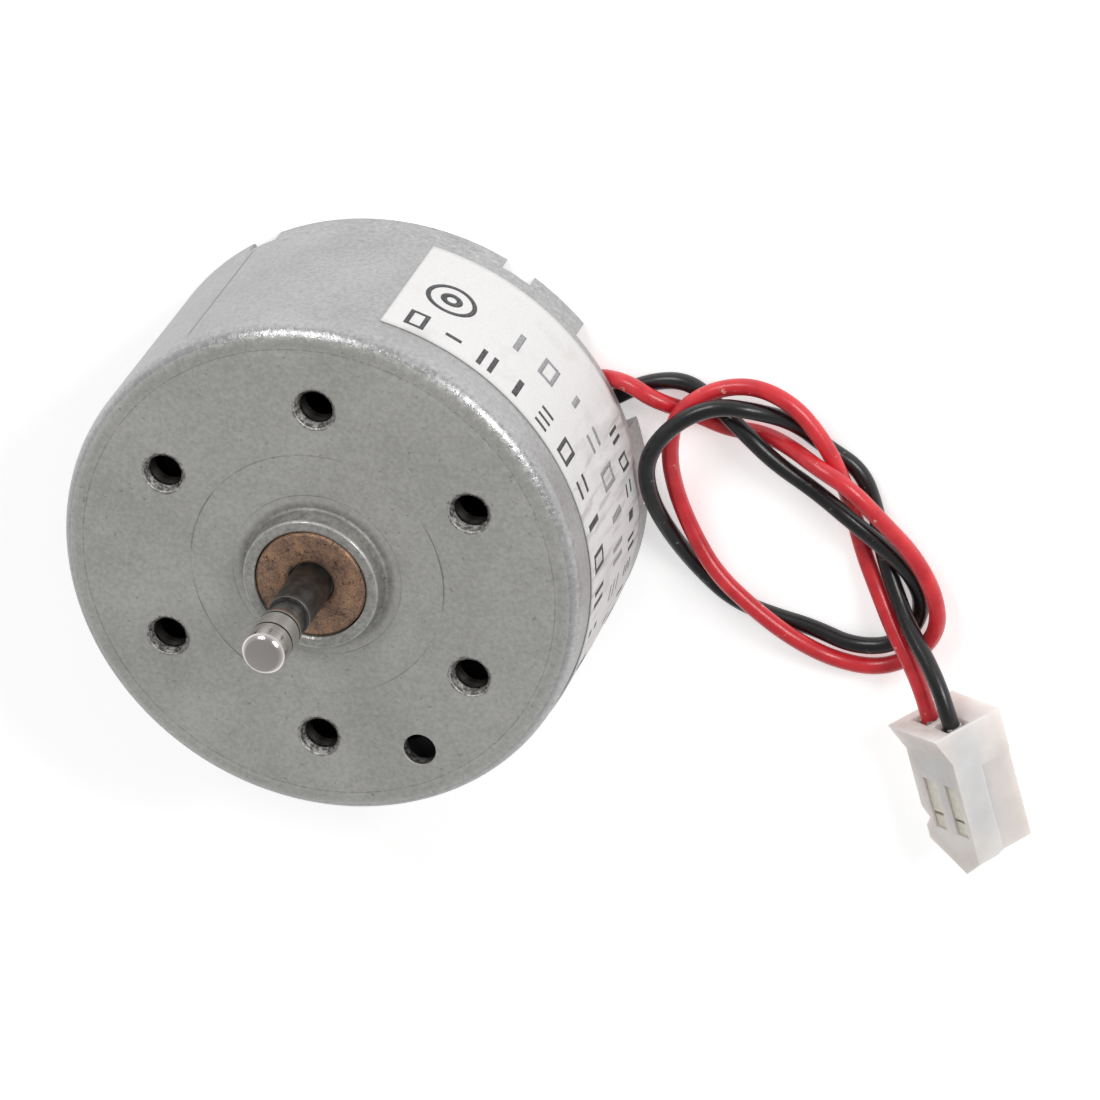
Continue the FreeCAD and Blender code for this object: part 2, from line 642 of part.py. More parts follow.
def make_commutator():
    """Moulded hub, three copper segments and the varistor ring beside them."""
    hub = cylinder("commutator_hub_outer", "hub_radius", "commutator_height", up="commutator_bottom")
    bore = cylinder("commutator_hub_bore", "shaft_radius", "commutator_height", up="commutator_bottom")
    finish("commutator_hub", cut("commutator_hub_tube", hub, bore))
    for number in range(int(size("pole_count"))):
        name = f"commutator_segment_{number + 1}"
        turn = f"360 / pole_count * {number} - segment_span / 2"
        outer = cylinder(name + "_outer", "commutator_radius", "commutator_height",
                         up="commutator_bottom", span="segment_span", turn=turn)
        inner = cylinder(name + "_inner", "hub_radius", "commutator_height", up="commutator_bottom")
        finish(name, cut(name, outer, inner))
    top = "commutator_bottom + commutator_height"
    ring = cylinder("varistor_outer", "varistor_radius", "varistor_thick", up=top)
    hole = cylinder("varistor_hole", "shaft_radius", "varistor_thick", up=top)
    return finish("varistor_ring", cut("varistor_ring_cut", ring, hole))


def make_spacers():
    """Nylon spacers that set the rotor's place along the shaft."""
    flange_bottom = "can_height - can_wall - front_bush_flange"
    core_top = "core_bottom + core_height + insulator_thick"
    rows = (("front_spacer", core_top, f"{flange_bottom} - fit_gap * 2 - ( {core_top} )"),
            ("rear_spacer", "rear_plate_bottom + rear_plate_thick + end_cap_thick + fit_gap * 2",
             "commutator_bottom - ( rear_plate_bottom + rear_plate_thick + end_cap_thick + fit_gap * 2 )"),
            ("core_spacer", "commutator_bottom + commutator_height + varistor_thick",
             "core_bottom - insulator_thick - ( commutator_bottom + commutator_height + varistor_thick )"))
    for label, bottom, height in rows:
        outer = cylinder(label + "_outer", "spacer_radius", height, up=bottom)
        bore = cylinder(label + "_bore", "shaft_radius", height, up=bottom)
        finish(label, cut(label + "_tube", outer, bore))


# ---------------------------------------------------------------- leads and connector

def lead_path(route):
    """Straight runs joined by tangent arcs. Returns the wire and the arcs' radii."""
    points = [Vector(*point) for point in route]
    edges = []
    radii = []
    reached = points[0]
    for before, corner, after in zip(points, points[1:], points[2:]):
        back = before - corner
        ahead = after - corner
        trim = ARC_SHARE * min(back.Length, ahead.Length)
        back.normalize()
        ahead.normalize()
        half_turn = (math.pi - back.getAngle(ahead)) / 2
        radius = trim / math.tan(half_turn)
        enter = corner + back * trim
        leave = corner + ahead * trim
        inward = (back + ahead).normalize()
        centre = corner + inward * (radius / math.cos(half_turn))
        edges.append(Part.LineSegment(reached, enter).toShape())
        edges.append(Part.Arc(enter, centre - inward * radius, leave).toShape())
        radii.append(radius)
        reached = leave
    edges.append(Part.LineSegment(reached, points[-1]).toShape())
    return Part.Wire(edges), radii


def make_lead(label, route):
    """One insulated lead, as a plain round tube along its route."""
    path, radii = lead_path(route)
    ahead = Vector(*route[1]) - Vector(*route[0])
    section = Part.Wire(Part.makeCircle(size("lead_diameter") / 2, Vector(*route[0]), ahead))
    tube = path.makePipeShell([section], True, False)
    thing = doc.addObject("Part::Feature", label + "_tube")
    thing.Shape = tube
    thing.Placement = FreeCAD.Placement()
    expected = math.pi * (size("lead_diameter") / 2) ** 2 * path.Length
    print(f"{label}: length {path.Length:.1f}, volume {tube.Volume:.2f} against {expected:.2f}, radii "
          + " ".join(f"{radius:.1f}" for radius in radii))
    if abs(tube.Volume - expected) > 0.01 * expected:
        raise RuntimeError(label + " has the wrong volume")
    return finish(label, thing)


def connector_place():
    """Where the connector lies: its entry face's middle, its heading and its roll."""
    turn = FreeCAD.Rotation(Vector(0, 0, 1), size("housing_heading"))
    roll = FreeCAD.Rotation(Vector(0, 1, 0), size("housing_roll"))
    return FreeCAD.Placement(Vector(size("entry_x"), size("entry_y"), size("entry_z")), turn.multiply(roll))


def make_housing():
    """Two-way crimp housing: leads enter at its Y = 0 face, Z points out of its window face.

    Its tongue comes to a point on the black lead's side, with a long slant before it and a short one behind.
    """
    width = "housing_black_side + housing_red_side"
    left = "0 - housing_black_side"
    shell = block("housing_block", width, "housing_length", "housing_window_side + housing_floor_side",
                  across=left, up="0 - housing_floor_side")
    under = "housing_window_side - housing_tongue_thick"
    plate = block("housing_tongue_block", width, "housing_tongue", "housing_tongue_thick",
                  across=left, along="housing_length", up=under)
    turns = (("tongue_slant", "0 - housing_tongue_slant"), ("tongue_back", "90 + housing_tongue_back"))
    slants = [block(name, width, width, "housing_tongue_thick", across="0 - housing_tongue_tip",
                    along="housing_length + housing_tongue", up=under, turn=turn)
              for name, turn in turns]
    tongue = cut("housing_tongue_shaped", plate, fuse("tongue_slants", *slants))
    lip = doc.addObject("Part::Wedge", "housing_lip_wedge")
    lip.Xmin = lip.Ymin = lip.Zmin = lip.X2min = lip.Z2min = 0
    bind(lip, Xmax=width, X2max=width, Ymax="housing_lip_length", Zmax="housing_lip", Z2max="housing_lip_foot")
    place(lip, across=left, up="housing_window_side")
    solid = fuse("housing_solid", shell, tongue, lip)
    openings = []
    for number, side in enumerate(("-1", "1")):
        middle = f"{side} * pitch / 2"
        openings.append(block(f"cavity_{number}", "cavity_width", "housing_length", "cavity_width",
                              across=f"{middle} - cavity_width / 2", up="0 - cavity_width / 2"))
        openings.append(block(f"window_{number}", "window_width", "window_length", "housing_window_side",
                              across=f"{middle} - window_width / 2", along="window_start"))
    housing = cut("housing_cut", solid, fuse("housing_openings", *openings))
    housing.Placement = connector_place()
    return finish("connector_housing", housing)


def make_contacts():
    """A crimped contact in each cavity: the round barrel meets the lead, the square box takes the pin."""
    for label, side in (("contact_red", "1"), ("contact_black", "-1")):
        middle = f"{side} * pitch / 2"
        barrel = cylinder(label + "_barrel", "lead_diameter / 2", "contact_barrel_length")
        barrel.setExpression("Placement.Rotation.Angle", None)
        barrel.Placement.Rotation = FreeCAD.Rotation(Vector(1, 0, 0), -90)
        barrel.setExpression("Placement.Base.x", bound(middle))
        barrel.setExpression("Placement.Base.y", bound("contact_start"))
        sleeve = block(label + "_box", "contact_width", "contact_box_length", "contact_width",
                       across=f"{middle} - contact_width / 2",
                       along="contact_start + contact_barrel_length", up="0 - contact_width / 2")
        bore = block(label + "_bore", "contact_bore", "contact_box_length", "contact_bore",
                     across=f"{middle} - contact_bore / 2",
                     along="contact_start + contact_barrel_length + contact_bore",
                     up="0 - contact_bore / 2")
        contact = cut(label + "_cut", fuse(label + "_solid", barrel, sleeve), bore)
        contact.Placement = connector_place()
        finish(label, contact)


# ---------------------------------------------------------------- check and write

def check_document():
    """Stop if any object failed or any sub-part's shape is missing or faulty."""
    doc.recompute()
    for thing in doc.Objects:
        if "Invalid" in thing.State or "Error" in thing.State:
            raise RuntimeError(f"{thing.Name} failed: {thing.State}")
    for thing in sub_parts:
        if thing.Shape.isNull() or not thing.Shape.isValid() or not thing.Shape.Solids:
            raise RuntimeError(f"{thing.Label} has no valid shape")


def write_parts():
    """Write one STEP file for each sub-part, named after it."""
    os.makedirs("parts", exist_ok=True)
    for thing in sub_parts:
        thing.Shape.exportStep(f"parts/{thing.Label}.step")
        print(f"{thing.Label}: {len(thing.Shape.Solids)} solid, {thing.Shape.Volume:.1f} mm3")


fill_sheet()
make_can()
make_front_bush()
make_magnets()
make_rear_plate()
make_end_cap()
make_rear_bearing()
make_terminals()
make_solder_joints()
make_brushes()
make_label()
make_shaft()
make_core()
make_coils()
make_commutator()
make_spacers()
make_lead("red_lead", RED_ROUTE)
make_lead("black_lead", BLACK_ROUTE)
make_housing()
make_contacts()
check_document()
write_parts()
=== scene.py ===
"""Looks of a small flat brushed motor: can, bush, shaft, paper label, knotted leads and connector.

Metres, in the frame's own axes: the origin is the middle of the can's rear rim and +Z runs up the shaft.
Sizes below are in millimetres and are turned into metres where a mesh is made.
"""
import math

import bmesh
import bpy
from mathutils import Matrix, Vector


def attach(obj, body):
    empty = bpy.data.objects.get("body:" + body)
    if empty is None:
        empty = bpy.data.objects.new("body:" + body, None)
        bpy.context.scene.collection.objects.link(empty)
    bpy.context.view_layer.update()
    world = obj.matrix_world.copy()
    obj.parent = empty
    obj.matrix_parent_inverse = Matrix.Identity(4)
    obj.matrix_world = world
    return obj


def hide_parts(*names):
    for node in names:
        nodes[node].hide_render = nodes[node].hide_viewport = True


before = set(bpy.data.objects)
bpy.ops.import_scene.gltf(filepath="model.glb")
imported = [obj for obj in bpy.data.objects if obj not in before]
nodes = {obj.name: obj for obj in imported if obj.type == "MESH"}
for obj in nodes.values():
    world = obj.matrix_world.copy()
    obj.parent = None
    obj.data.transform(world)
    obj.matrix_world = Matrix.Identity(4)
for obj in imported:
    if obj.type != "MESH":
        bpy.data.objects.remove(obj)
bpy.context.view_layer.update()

MM = 0.001
SEAM = 1e-6                 # merge distance of a turned shape's seam and poles, in metres
SMOOTH_LIMIT = math.radians(32)
TURN_STEPS = 144

# Where the camera and the lights are, in millimetres and degrees.
CAMERA_PLACE = (117.23, 197.45, 375.91)
CAMERA_AIM = (14.06, -0.31, 10.0)
CAMERA_ROLL = -148.45
CAMERA_LENS = 204.62
LIGHTS_AIM = (10, 0, 10)
LIGHT_SIZE = 250
KEY_LIGHT, KEY_WATTS = (500, 380, 420), 2.1
FILL_LIGHT, FILL_WATTS = (-220, 550, 400), 1.5
FLOOR_REACH = 1500
FLOOR_DROP = 0.02

# Sizes that the shapes below share, in millimetres and degrees.
CAN_RADIUS = 18.4
CAN_TOP = 18.5
CAN_WALL = 1.0
RIM_ROUND = 1.3
BOSS_RADIUS = 4.8
BOSS_TOP = 20.07
BORE_RADIUS = 4.0
SCREW_CIRCLE = 12.5
SCREW_ANGLES = [30 + 60 * k for k in range(6)]
THREAD_PITCH = 0.5
THREAD_MINOR = 1.25
THREAD_MAJOR = 1.5
LOCATING_CIRCLE, LOCATING_ANGLE = 14.4, -60
LOCATING_RADIUS = 1.15
FACE_RINGS = ((6.0, 0.005), (9.0, 0.01))        # each turned ring's radius and depth
LUG_ANGLES = [60 * k for k in range(6)]
SLOT_WIDTH, SLOT_HEIGHT = 2.25, 1.4
NOTCH_ANGLE, NOTCH_WIDTH, NOTCH_HEIGHT = 30, 7.65, 2.1
LUG_INNER, LUG_OUTER, LUG_WIDTH = 15.9, 17.5, 2.1
LUG_FOOT, LUG_TOP = 0.95, 1.88
BUSH_TOP, BUSH_BORE, BUSH_RADIUS = 19.97, 1.53, 3.9
FLANGE_RADIUS, FLANGE_THICK = 5.4, 0.8
SHAFT_RADIUS, NECK_RADIUS = 1.5, 1.25
SHAFT_TOP, SHAFT_FOOT = 30.5, 1.75
SHAFT_RINGS = (28.5, 26.9)
NECK_TOP, NECK_FOOT = 26.1, 24.74
OIL_GROOVE_TOP, OIL_GROOVE_FOOT = 20.06, 19.54
LABEL_INNER = CAN_RADIUS + 0.01
LABEL_THICK = 0.1
LABEL_LOW, LABEL_HIGH = 2.9, 15.2
LABEL_START, LABEL_END = -80.0, 78.5
LEAD_DIAMETER = 1.2
PITCH = 2.5
RED_LENGTH, BLACK_LENGTH = 0.1083, 0.1045       # metres

# The connector's housing, in its own axes: X across, Y from the leads' entry, Z out of the window face.
HOUSING_LEFT, HOUSING_RIGHT = -2.5, 3.1
HOUSING_END = 10.0
HOUSING_FLOOR, HOUSING_FACE = -3.4, 1.4
TONGUE_UNDER = -0.5
TONGUE_TIP = (-0.5, 11.4, 0)
TONGUE_SLANT, TONGUE_BACK = 29, 33
CAVITY_WIDTH, WINDOW_WIDTH = 1.9, 1.5
WINDOW_START, WINDOW_END = 4.3, 8.3
WINGS = (0.1, 1.3)              # the contact's parts, each from and to these places along Y
BARREL = (1.7, 3.5)
SLEEVE = (3.8, 8.4)
SLEEVE_HALF = 0.8
CONTACT_SHEET = 0.14

# The leads' routes, as in the part: solder joint, rim notch, loose knot, connector.
RED_ROUTE = [
    (9.8, 6.5, 0.85), (12.4, 7.8, 0.8), (15.0, 8.8, 0.8), (17.3, 9.1, 1.9), (19.3, 8.1, 2.15),
    (21.6, 6.8, 0.61), (24.2, 5.9, 0.61), (26.5, 5.9, 0.61), (28.7, 5.6, 1.5), (31.2, 5.1, 3.3),
    (33.6, 4.1, 3.8), (35.9, 1.5, 3.3), (37.8, -1.0, 2.4), (39.4, -3.9, 2.2), (39.7, -7.0, 1.6),
    (37.9, -9.9, 0.61), (35.2, -11.3, 0.61), (32.0, -10.8, 1.0), (29.2, -8.9, 2.1), (26.4, -6.9, 2.15),
    (23.8, -4.7, 2.0), (22.0, -2.0, 1.6), (20.7, 1.0, 1.5), (20.4, 4.3, 2.4), (20.9, 7.5, 2.8),
    (23.2, 9.5, 2.3), (26.2, 10.2, 2.06), (29.1, 9.1, 2.06), (31.2, 6.7, 2.06), (32.6, 4.0, 2.06),
    (33.1, 0.9, 0.61), (33.9, -2.2, 0.61), (35.2, -5.1, 1.0), (36.6, -7.4, 2.1), (38.0, -9.3, 2.8),
    (39.36, -11.6, 3.8), (40.08, -14.2, 3.8),
]
BLACK_ROUTE = [
    (11.4, 3.4, 0.85), (13.7, 5.4, 0.85), (16.0, 7.3, 0.75), (18.6, 8.8, 0.61), (21.3, 9.2, 0.61),
    (23.3, 7.7, 0.75), (25.6, 6.6, 2.15), (27.9, 4.6, 2.3), (30.8, 2.8, 2.2), (33.3, 1.3, 2.8),
    (35.7, -0.8, 2.3), (37.7, -3.5, 1.0), (38.4, -6.4, 0.61), (36.6, -9.2, 0.61), (33.5, -9.8, 0.61),
    (30.5, -8.7, 0.61), (27.7, -8.2, 0.61), (24.8, -7.4, 0.61), (22.3, -5.3, 0.61), (20.3, -2.1, 1.7),
    (19.2, 1.5, 3.3), (19.2, 4.6, 4.1), (21.0, 7.4, 4.2), (23.8, 9.0, 3.6), (26.6, 8.7, 3.0),
    (29.0, 7.3, 1.1), (31.2, 5.4, 0.61), (33.7, 4.0, 0.61), (34.8, 1.0, 0.61), (35.3, -2.0, 0.61),
    (36.4, -4.5, 1.3), (37.9, -6.9, 2.7), (39.7, -8.7, 4.1), (41.21, -11.08, 5.4), (41.93, -13.68, 5.4),
]

# Where the connector lies: its entry face's middle, its heading about Z and its roll about its length.
CONNECTOR_PLACE = (Matrix.Translation(Vector((40.6, -12.5, 4.6)) * MM)
                   @ Matrix.Rotation(math.radians(-164.4), 4, "Z")
                   @ Matrix.Rotation(math.radians(40), 4, "Y"))


# ---------------------------------------------------------------- camera, light and floor

def set_camera():
    """A long lens from above and to one side, rolled so that the shaft points to the lower left."""
    camera = add_object("camera", bpy.data.cameras.new("camera"))
    facing = (Vector(CAMERA_AIM) - Vector(CAMERA_PLACE)).to_track_quat("-Z", "Y").to_matrix().to_4x4()
    roll = Matrix.Rotation(math.radians(CAMERA_ROLL), 4, "Z")
    camera.matrix_world = Matrix.Translation(Vector(CAMERA_PLACE) * MM) @ facing @ roll
    camera.data.lens = CAMERA_LENS
    camera.data.sensor_width = 36
    camera.data.clip_start = 0.01
    camera.data.clip_end = 10
    bpy.context.scene.camera = camera


def area_light(name, place, watts):
    """A soft square light at a place in millimetres, aimed at the motor."""
    lamp = bpy.data.lights.new(name, "AREA")
    lamp.size = LIGHT_SIZE * MM
    lamp.energy = watts
    light = add_object(name, lamp)
    light.location = Vector(place) * MM
    light.rotation_euler = (Vector(LIGHTS_AIM) - Vector(place)).to_track_quat("-Z", "Y").to_euler()


def light_studio():
    """Even white light from all round, a little dimmer overhead, and two soft lights."""
    scene = bpy.context.scene
    scene.view_settings.view_transform = "Standard"
    scene.view_settings.look = "None"
    world = bpy.data.worlds.new("studio")
    scene.world = world
    world.use_nodes = True
    tree = world.node_tree
    direction = tree.nodes.new("ShaderNodeTexCoord").outputs["Generated"]
    height = add_node(tree, "ShaderNodeSeparateXYZ", {0: direction}).outputs["Z"]
    tone = ramp(tree, height, [(0.0, (1.0, 1.0, 1.0)), (0.4, (0.81, 0.812, 0.815)),
                               (0.75, (0.56, 0.56, 0.555)), (1.0, (0.5, 0.5, 0.495))])
    backdrop = tree.nodes["Background"]
    tree.links.new(tone, backdrop.inputs["Color"])
    backdrop.inputs["Strength"].default_value = 0.7
    area_light("key_light", KEY_LIGHT, KEY_WATTS)
    area_light("fill_light", FILL_LIGHT, FILL_WATTS)


def lay_floor():
    """The plain pale surface that the motor stands on."""
    reach = FLOOR_REACH * MM
    corners = [(-reach, -reach, 0), (reach, -reach, 0), (reach, reach, 0), (-reach, reach, 0)]
    floor = mesh_piece("floor", corners, [(0, 1, 2, 3)])
    floor.location.z = -FLOOR_DROP * MM
    pale, _, shader = new_material("pale_floor", Roughness=0.9, Emission_Strength=0.42)
    shader.inputs["Base Color"].default_value = (0.93, 0.93, 0.93, 1)
    shader.inputs["Emission Color"].default_value = (1, 1, 1, 1)
    floor.data.materials.append(pale)


# ---------------------------------------------------------------- mesh helpers

def add_object(name, data):
    """A new object in the scene, at the origin."""
    made = bpy.data.objects.new(name, data)
    bpy.context.scene.collection.objects.link(made)
    return made


def mesh_piece(name, points, faces, edges=()):
    """A new object at the origin from points in metres."""
    mesh = bpy.data.meshes.new(name)
    mesh.from_pydata([tuple(point) for point in points], list(edges), list(faces))
    return add_object(name, mesh)


def apply_stack(piece):
    """Turn a piece's modifiers into its own mesh, smooth except at its corners."""
    depsgraph = bpy.context.evaluated_depsgraph_get()
    mesh = bpy.data.meshes.new_from_object(piece.evaluated_get(depsgraph))
    piece.modifiers.clear()
    piece.data = mesh
    mesh.shade_smooth()
    mesh.set_sharp_from_angle(angle=SMOOTH_LIMIT)
    return piece


def turn_about_z(piece, steps=TURN_STEPS):
    """Turn the piece's profile, which lies in the XZ plane, once about Z."""
    turn = piece.modifiers.new("turn", "SCREW")
    turn.steps = steps
    turn.render_steps = steps
    turn.use_merge_vertices = True
    turn.merge_threshold = SEAM
    turn.use_smooth_shade = True


def soften(piece, width, segments=2):
    """Round every corner of a piece, by a width in millimetres."""
    bevel = piece.modifiers.new("soften", "BEVEL")
    bevel.width = width * MM
    bevel.segments = segments
    bevel.limit_method = "ANGLE"
    bevel.angle_limit = SMOOTH_LIMIT
    bevel.harden_normals = True
    bevel.use_clamp_overlap = True


def turned(name, profile, steps=TURN_STEPS):
    """A turned piece from (radius, height) pairs: a closed ring, or open from pole to pole."""
    points = [(radius * MM, 0, height * MM) for radius, height in profile]
    edges = [(k, k + 1) for k in range(len(points) - 1)]
    if profile[0][0] > 0:
        edges.append((len(points) - 1, 0))
    piece = mesh_piece(name, points, [], edges)
    turn_about_z(piece, steps)
    return piece


def arc(across, up, radius, start, end, count):
    """Points of a profile's round corner, from one angle to another, in degrees."""
    step = math.radians(end - start) / count
    first = math.radians(start)
    return [(across + radius * math.cos(first + step * k), up + radius * math.sin(first + step * k))
            for k in range(count + 1)]


def at_angle(radius, angle, height=0.0):
    """The place in metres at a radius, an angle in degrees and a height."""
    turn = math.radians(angle)
    return Vector((radius * math.cos(turn), radius * math.sin(turn), height)) * MM


def box_mesh(bm, low, high, place=Matrix()):
    """Add a box between two corners in millimetres, then put it in place."""
    made = bmesh.ops.create_cube(bm, size=1)["verts"]
    middle = (Vector(low) + Vector(high)) / 2 * MM
    size = (Vector(high) - Vector(low)) * MM
    for vert in made:
        vert.co = place @ (middle + Vector((vert.co.x * size.x, vert.co.y * size.y, vert.co.z * size.z)))


def from_bmesh(name, bm):
    """A new object from a bmesh, which is then freed."""
    mesh = bpy.data.meshes.new(name)
    bm.to_mesh(mesh)
    bm.free()
    return add_object(name, mesh)


def copies(name, source, places):
    """One mesh of the source at each place. The source is removed."""
    bm = bmesh.new()
    for place in places:
        mesh = source.data.copy()
        mesh.transform(place)
        bm.from_mesh(mesh)
        bpy.data.meshes.remove(mesh)
    bpy.data.objects.remove(source)
    return from_bmesh(name, bm)


def cut_away(piece, cutter):
    """Take the cutter's shape out of the piece, and remove the cutter."""
    carve = piece.modifiers.new("carve", "BOOLEAN")
    carve.operation = "DIFFERENCE"
    carve.solver = "EXACT"
    carve.object = cutter
    apply_stack(piece)
    bpy.data.objects.remove(cutter)


def carve_boxes(piece, boxes, place=Matrix()):
    """Take boxes, each between two corners in millimetres, out of a piece."""
    bm = bmesh.new()
    for low, high in boxes:
        box_mesh(bm, low, high, place)
    cut_away(piece, from_bmesh("box_cutters", bm))


def present(piece, body, slot, material, *stood_for):
    """Give a finished piece its material and body, and hide the nodes that it stands for. The slot is not
    used.
    """
    piece.data.materials.clear()
    piece.data.materials.append(material)
    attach(piece, body)
    if stood_for:
        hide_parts(*stood_for)
    return piece


# ---------------------------------------------------------------- material helpers

def add_node(tree, kind, inputs=None, **settings):
    """A new node, with its settings and with inputs that are either values or other nodes' outputs."""
    made = tree.nodes.new(kind)
    for name, value in settings.items():
        setattr(made, name, value)
    for key, value in (inputs or {}).items():
        if isinstance(value, bpy.types.NodeSocket):
            tree.links.new(value, made.inputs[key])
        else:
            made.inputs[key].default_value = value
    return made


def maths(tree, operation, first, second=0.0, clamp=False):
    """One sum on two values or sockets."""
    return add_node(tree, "ShaderNodeMath", {0: first, 1: second}, operation=operation,
                    use_clamp=clamp).outputs[0]


def times(tree, *factors):
    """The product of values or sockets."""
    product = factors[0]
    for factor in factors[1:]:
        product = maths(tree, "MULTIPLY", product, factor)
    return product


def mingled(tree, first, second, share):
    """Two noises as one, the first with so large a share of it."""
    return maths(tree, "ADD", times(tree, first, share), times(tree, second, 1 - share))


def place_of(tree, stretch=(1, 1, 1)):
    """The point on the object in metres, stretched along each axis."""
    point = tree.nodes.new("ShaderNodeTexCoord").outputs["Object"]
    return add_node(tree, "ShaderNodeMapping", {"Vector": point, "Scale": stretch}).outputs[0]


def noise(tree, size, detail=3.0, roughness=0.55, stretch=(1, 1, 1)):
    """Cloudy noise whose spots are about so many millimetres across."""
    return add_node(tree, "ShaderNodeTexNoise",
                    {"Vector": place_of(tree, stretch), "Scale": 1 / (size * MM), "Detail": detail,
                     "Roughness": roughness}).outputs["Fac"]


def ramp(tree, factor, stops):
    """A colour or grey that changes with a factor, through (position, value) stops."""
    made = add_node(tree, "ShaderNodeValToRGB", {"Fac": factor})
    line = made.color_ramp
    while len(line.elements) < len(stops):
        line.elements.new(0.5)
    for element, (position, value) in zip(line.elements, stops):
        element.position = position
        element.color = (*value, 1) if isinstance(value, tuple) else (value, value, value, 1)
    return made.outputs["Color"]


def fade(tree, value, low, high, start=0.0, end=1.0):
    """From a start to an end as a length in metres goes from low to high, both in millimetres."""
    return add_node(tree, "ShaderNodeMapRange", {"Value": value, "From Min": low * MM, "From Max": high * MM,
                    "To Min": start, "To Max": end}, clamp=True).outputs[0]


def band(tree, value, low, high, soft):
    """1 between two millimetre marks, falling to 0 outside them over a soft width."""
    return times(tree, fade(tree, value, low - soft, low), fade(tree, value, high, high + soft, 1.0, 0.0))


def above(tree, value, level):
    """1 where a length in metres is over a level in millimetres, and 0 elsewhere."""
    return maths(tree, "GREATER_THAN", value, level * MM)


def blend_colours(tree, factor, first, second):
    """The first colour turned into the second by a factor."""
    made = add_node(tree, "ShaderNodeMix", {"Factor": factor}, data_type="RGBA")
    for socket, value in ((made.inputs[6], first), (made.inputs[7], second)):
        if isinstance(value, bpy.types.NodeSocket):
            tree.links.new(value, socket)
        else:
            socket.default_value = (*value, 1)
    return made.outputs[2]


def bumped(tree, height, depth, strength=1.0, under=None):
    """A normal for a height from 0 to 1 that stands so many millimetres high."""
    inputs = {"Height": height, "Distance": depth * MM, "Strength": strength}
    if under is not None:
        inputs["Normal"] = under
    return add_node(tree, "ShaderNodeBump", inputs).outputs[0]


def new_material(name, **uniform):
    """A material, its tree and its shader, with the shader's uniform values set on its own sockets."""
    material = bpy.data.materials.new(name)
    material.use_nodes = True
    shader = material.node_tree.nodes["Principled BSDF"]
    for words, value in uniform.items():
        shader.inputs[words.replace("_", " ")].default_value = value
    return material, material.node_tree, shader


def finish_shader(tree, shader, colour=None, roughness=None, normal=None):
    """Link the finished colour, roughness and normal to the shader."""
    for name, socket in (("Base Color", colour), ("Roughness", roughness), ("Normal", normal)):
        if socket is not None:
            tree.links.new(socket, shader.inputs[name])


def metal(name, dark, light, rough, grain=0.25, cloud=4.0, relief=0.004, metallic=1.0):
    """A plain metal with clouded colour, fine grain and roughness that varies with the grain."""
    material, tree, shader = new_material(name, Metallic=metallic)
    fine = noise(tree, grain, 4)
    broad = noise(tree, cloud, 2)
    colour = ramp(tree, mingled(tree, fine, broad, 0.5), [(0.35, dark), (0.65, light)])
    shine = ramp(tree, fine, [(0.3, rough[0]), (0.7, rough[1])])
    finish_shader(tree, shader, colour, shine, bumped(tree, fine, relief))
    return material


def moulded(name, dark, light, rough=(0.4, 0.55), grain=0.15, relief=0.003, **uniform):
    """A moulded plastic with a fine skin."""
    material, tree, shader = new_material(name, **uniform)
    fine = noise(tree, grain, 3)
    broad = noise(tree, 3.0, 2)
    colour = ramp(tree, broad, [(0.35, dark), (0.65, light)])
    shine = ramp(tree, fine, [(0.3, rough[0]), (0.7, rough[1])])
    finish_shader(tree, shader, colour, shine, bumped(tree, fine, relief))
    return material


# ---------------------------------------------------------------- materials

def turned_lines(tree, axes, radius, on_face):
    """Faint rings turned in the face, and one long score down the side."""
    outer = band(tree, radius, 8.97, 9.03, 0.05)
    inner = band(tree, radius, 5.98, 6.02, 0.05)
    patchy = ramp(tree, noise(tree, 3.5, 2), [(0.4, 0.15), (0.62, 1.0)])
    rings = times(tree, maths(tree, "ADD", outer, times(tree, inner, 0.6)), on_face, patchy)
    angle = math.radians(121.5)
    beside = maths(tree, "SUBTRACT", times(tree, axes["Y"], math.cos(angle)),
                   times(tree, axes["X"], math.sin(angle)))
    score = times(tree, band(tree, beside, -0.05, 0.05, 0.12), band(tree, axes["Z"], 2.2, 15.8, 0.6),
                  above(tree, axes["Y"], 0))
    return maths(tree, "MULTIPLY", maths(tree, "MAXIMUM", rings, score), 0.55, clamp=True)


def screw_distance(tree, axes, radius):
    """How far a point on the face is from the middle of the nearest screw hole, in metres."""
    turn = maths(tree, "ARCTAN2", axes["Y"], axes["X"])
    sector = math.tau / len(SCREW_ANGLES)
    step = maths(tree, "FLOOR", maths(tree, "DIVIDE", turn, sector))
    nearest = times(tree, sector, maths(tree, "ADD", 0.5, step))
    aside = times(tree, maths(tree, "SUBTRACT", turn, nearest), radius)
    outward = maths(tree, "SUBTRACT", radius, SCREW_CIRCLE * MM)
    return maths(tree, "SQRT", maths(tree, "ADD", times(tree, aside, aside), times(tree, outward, outward)))


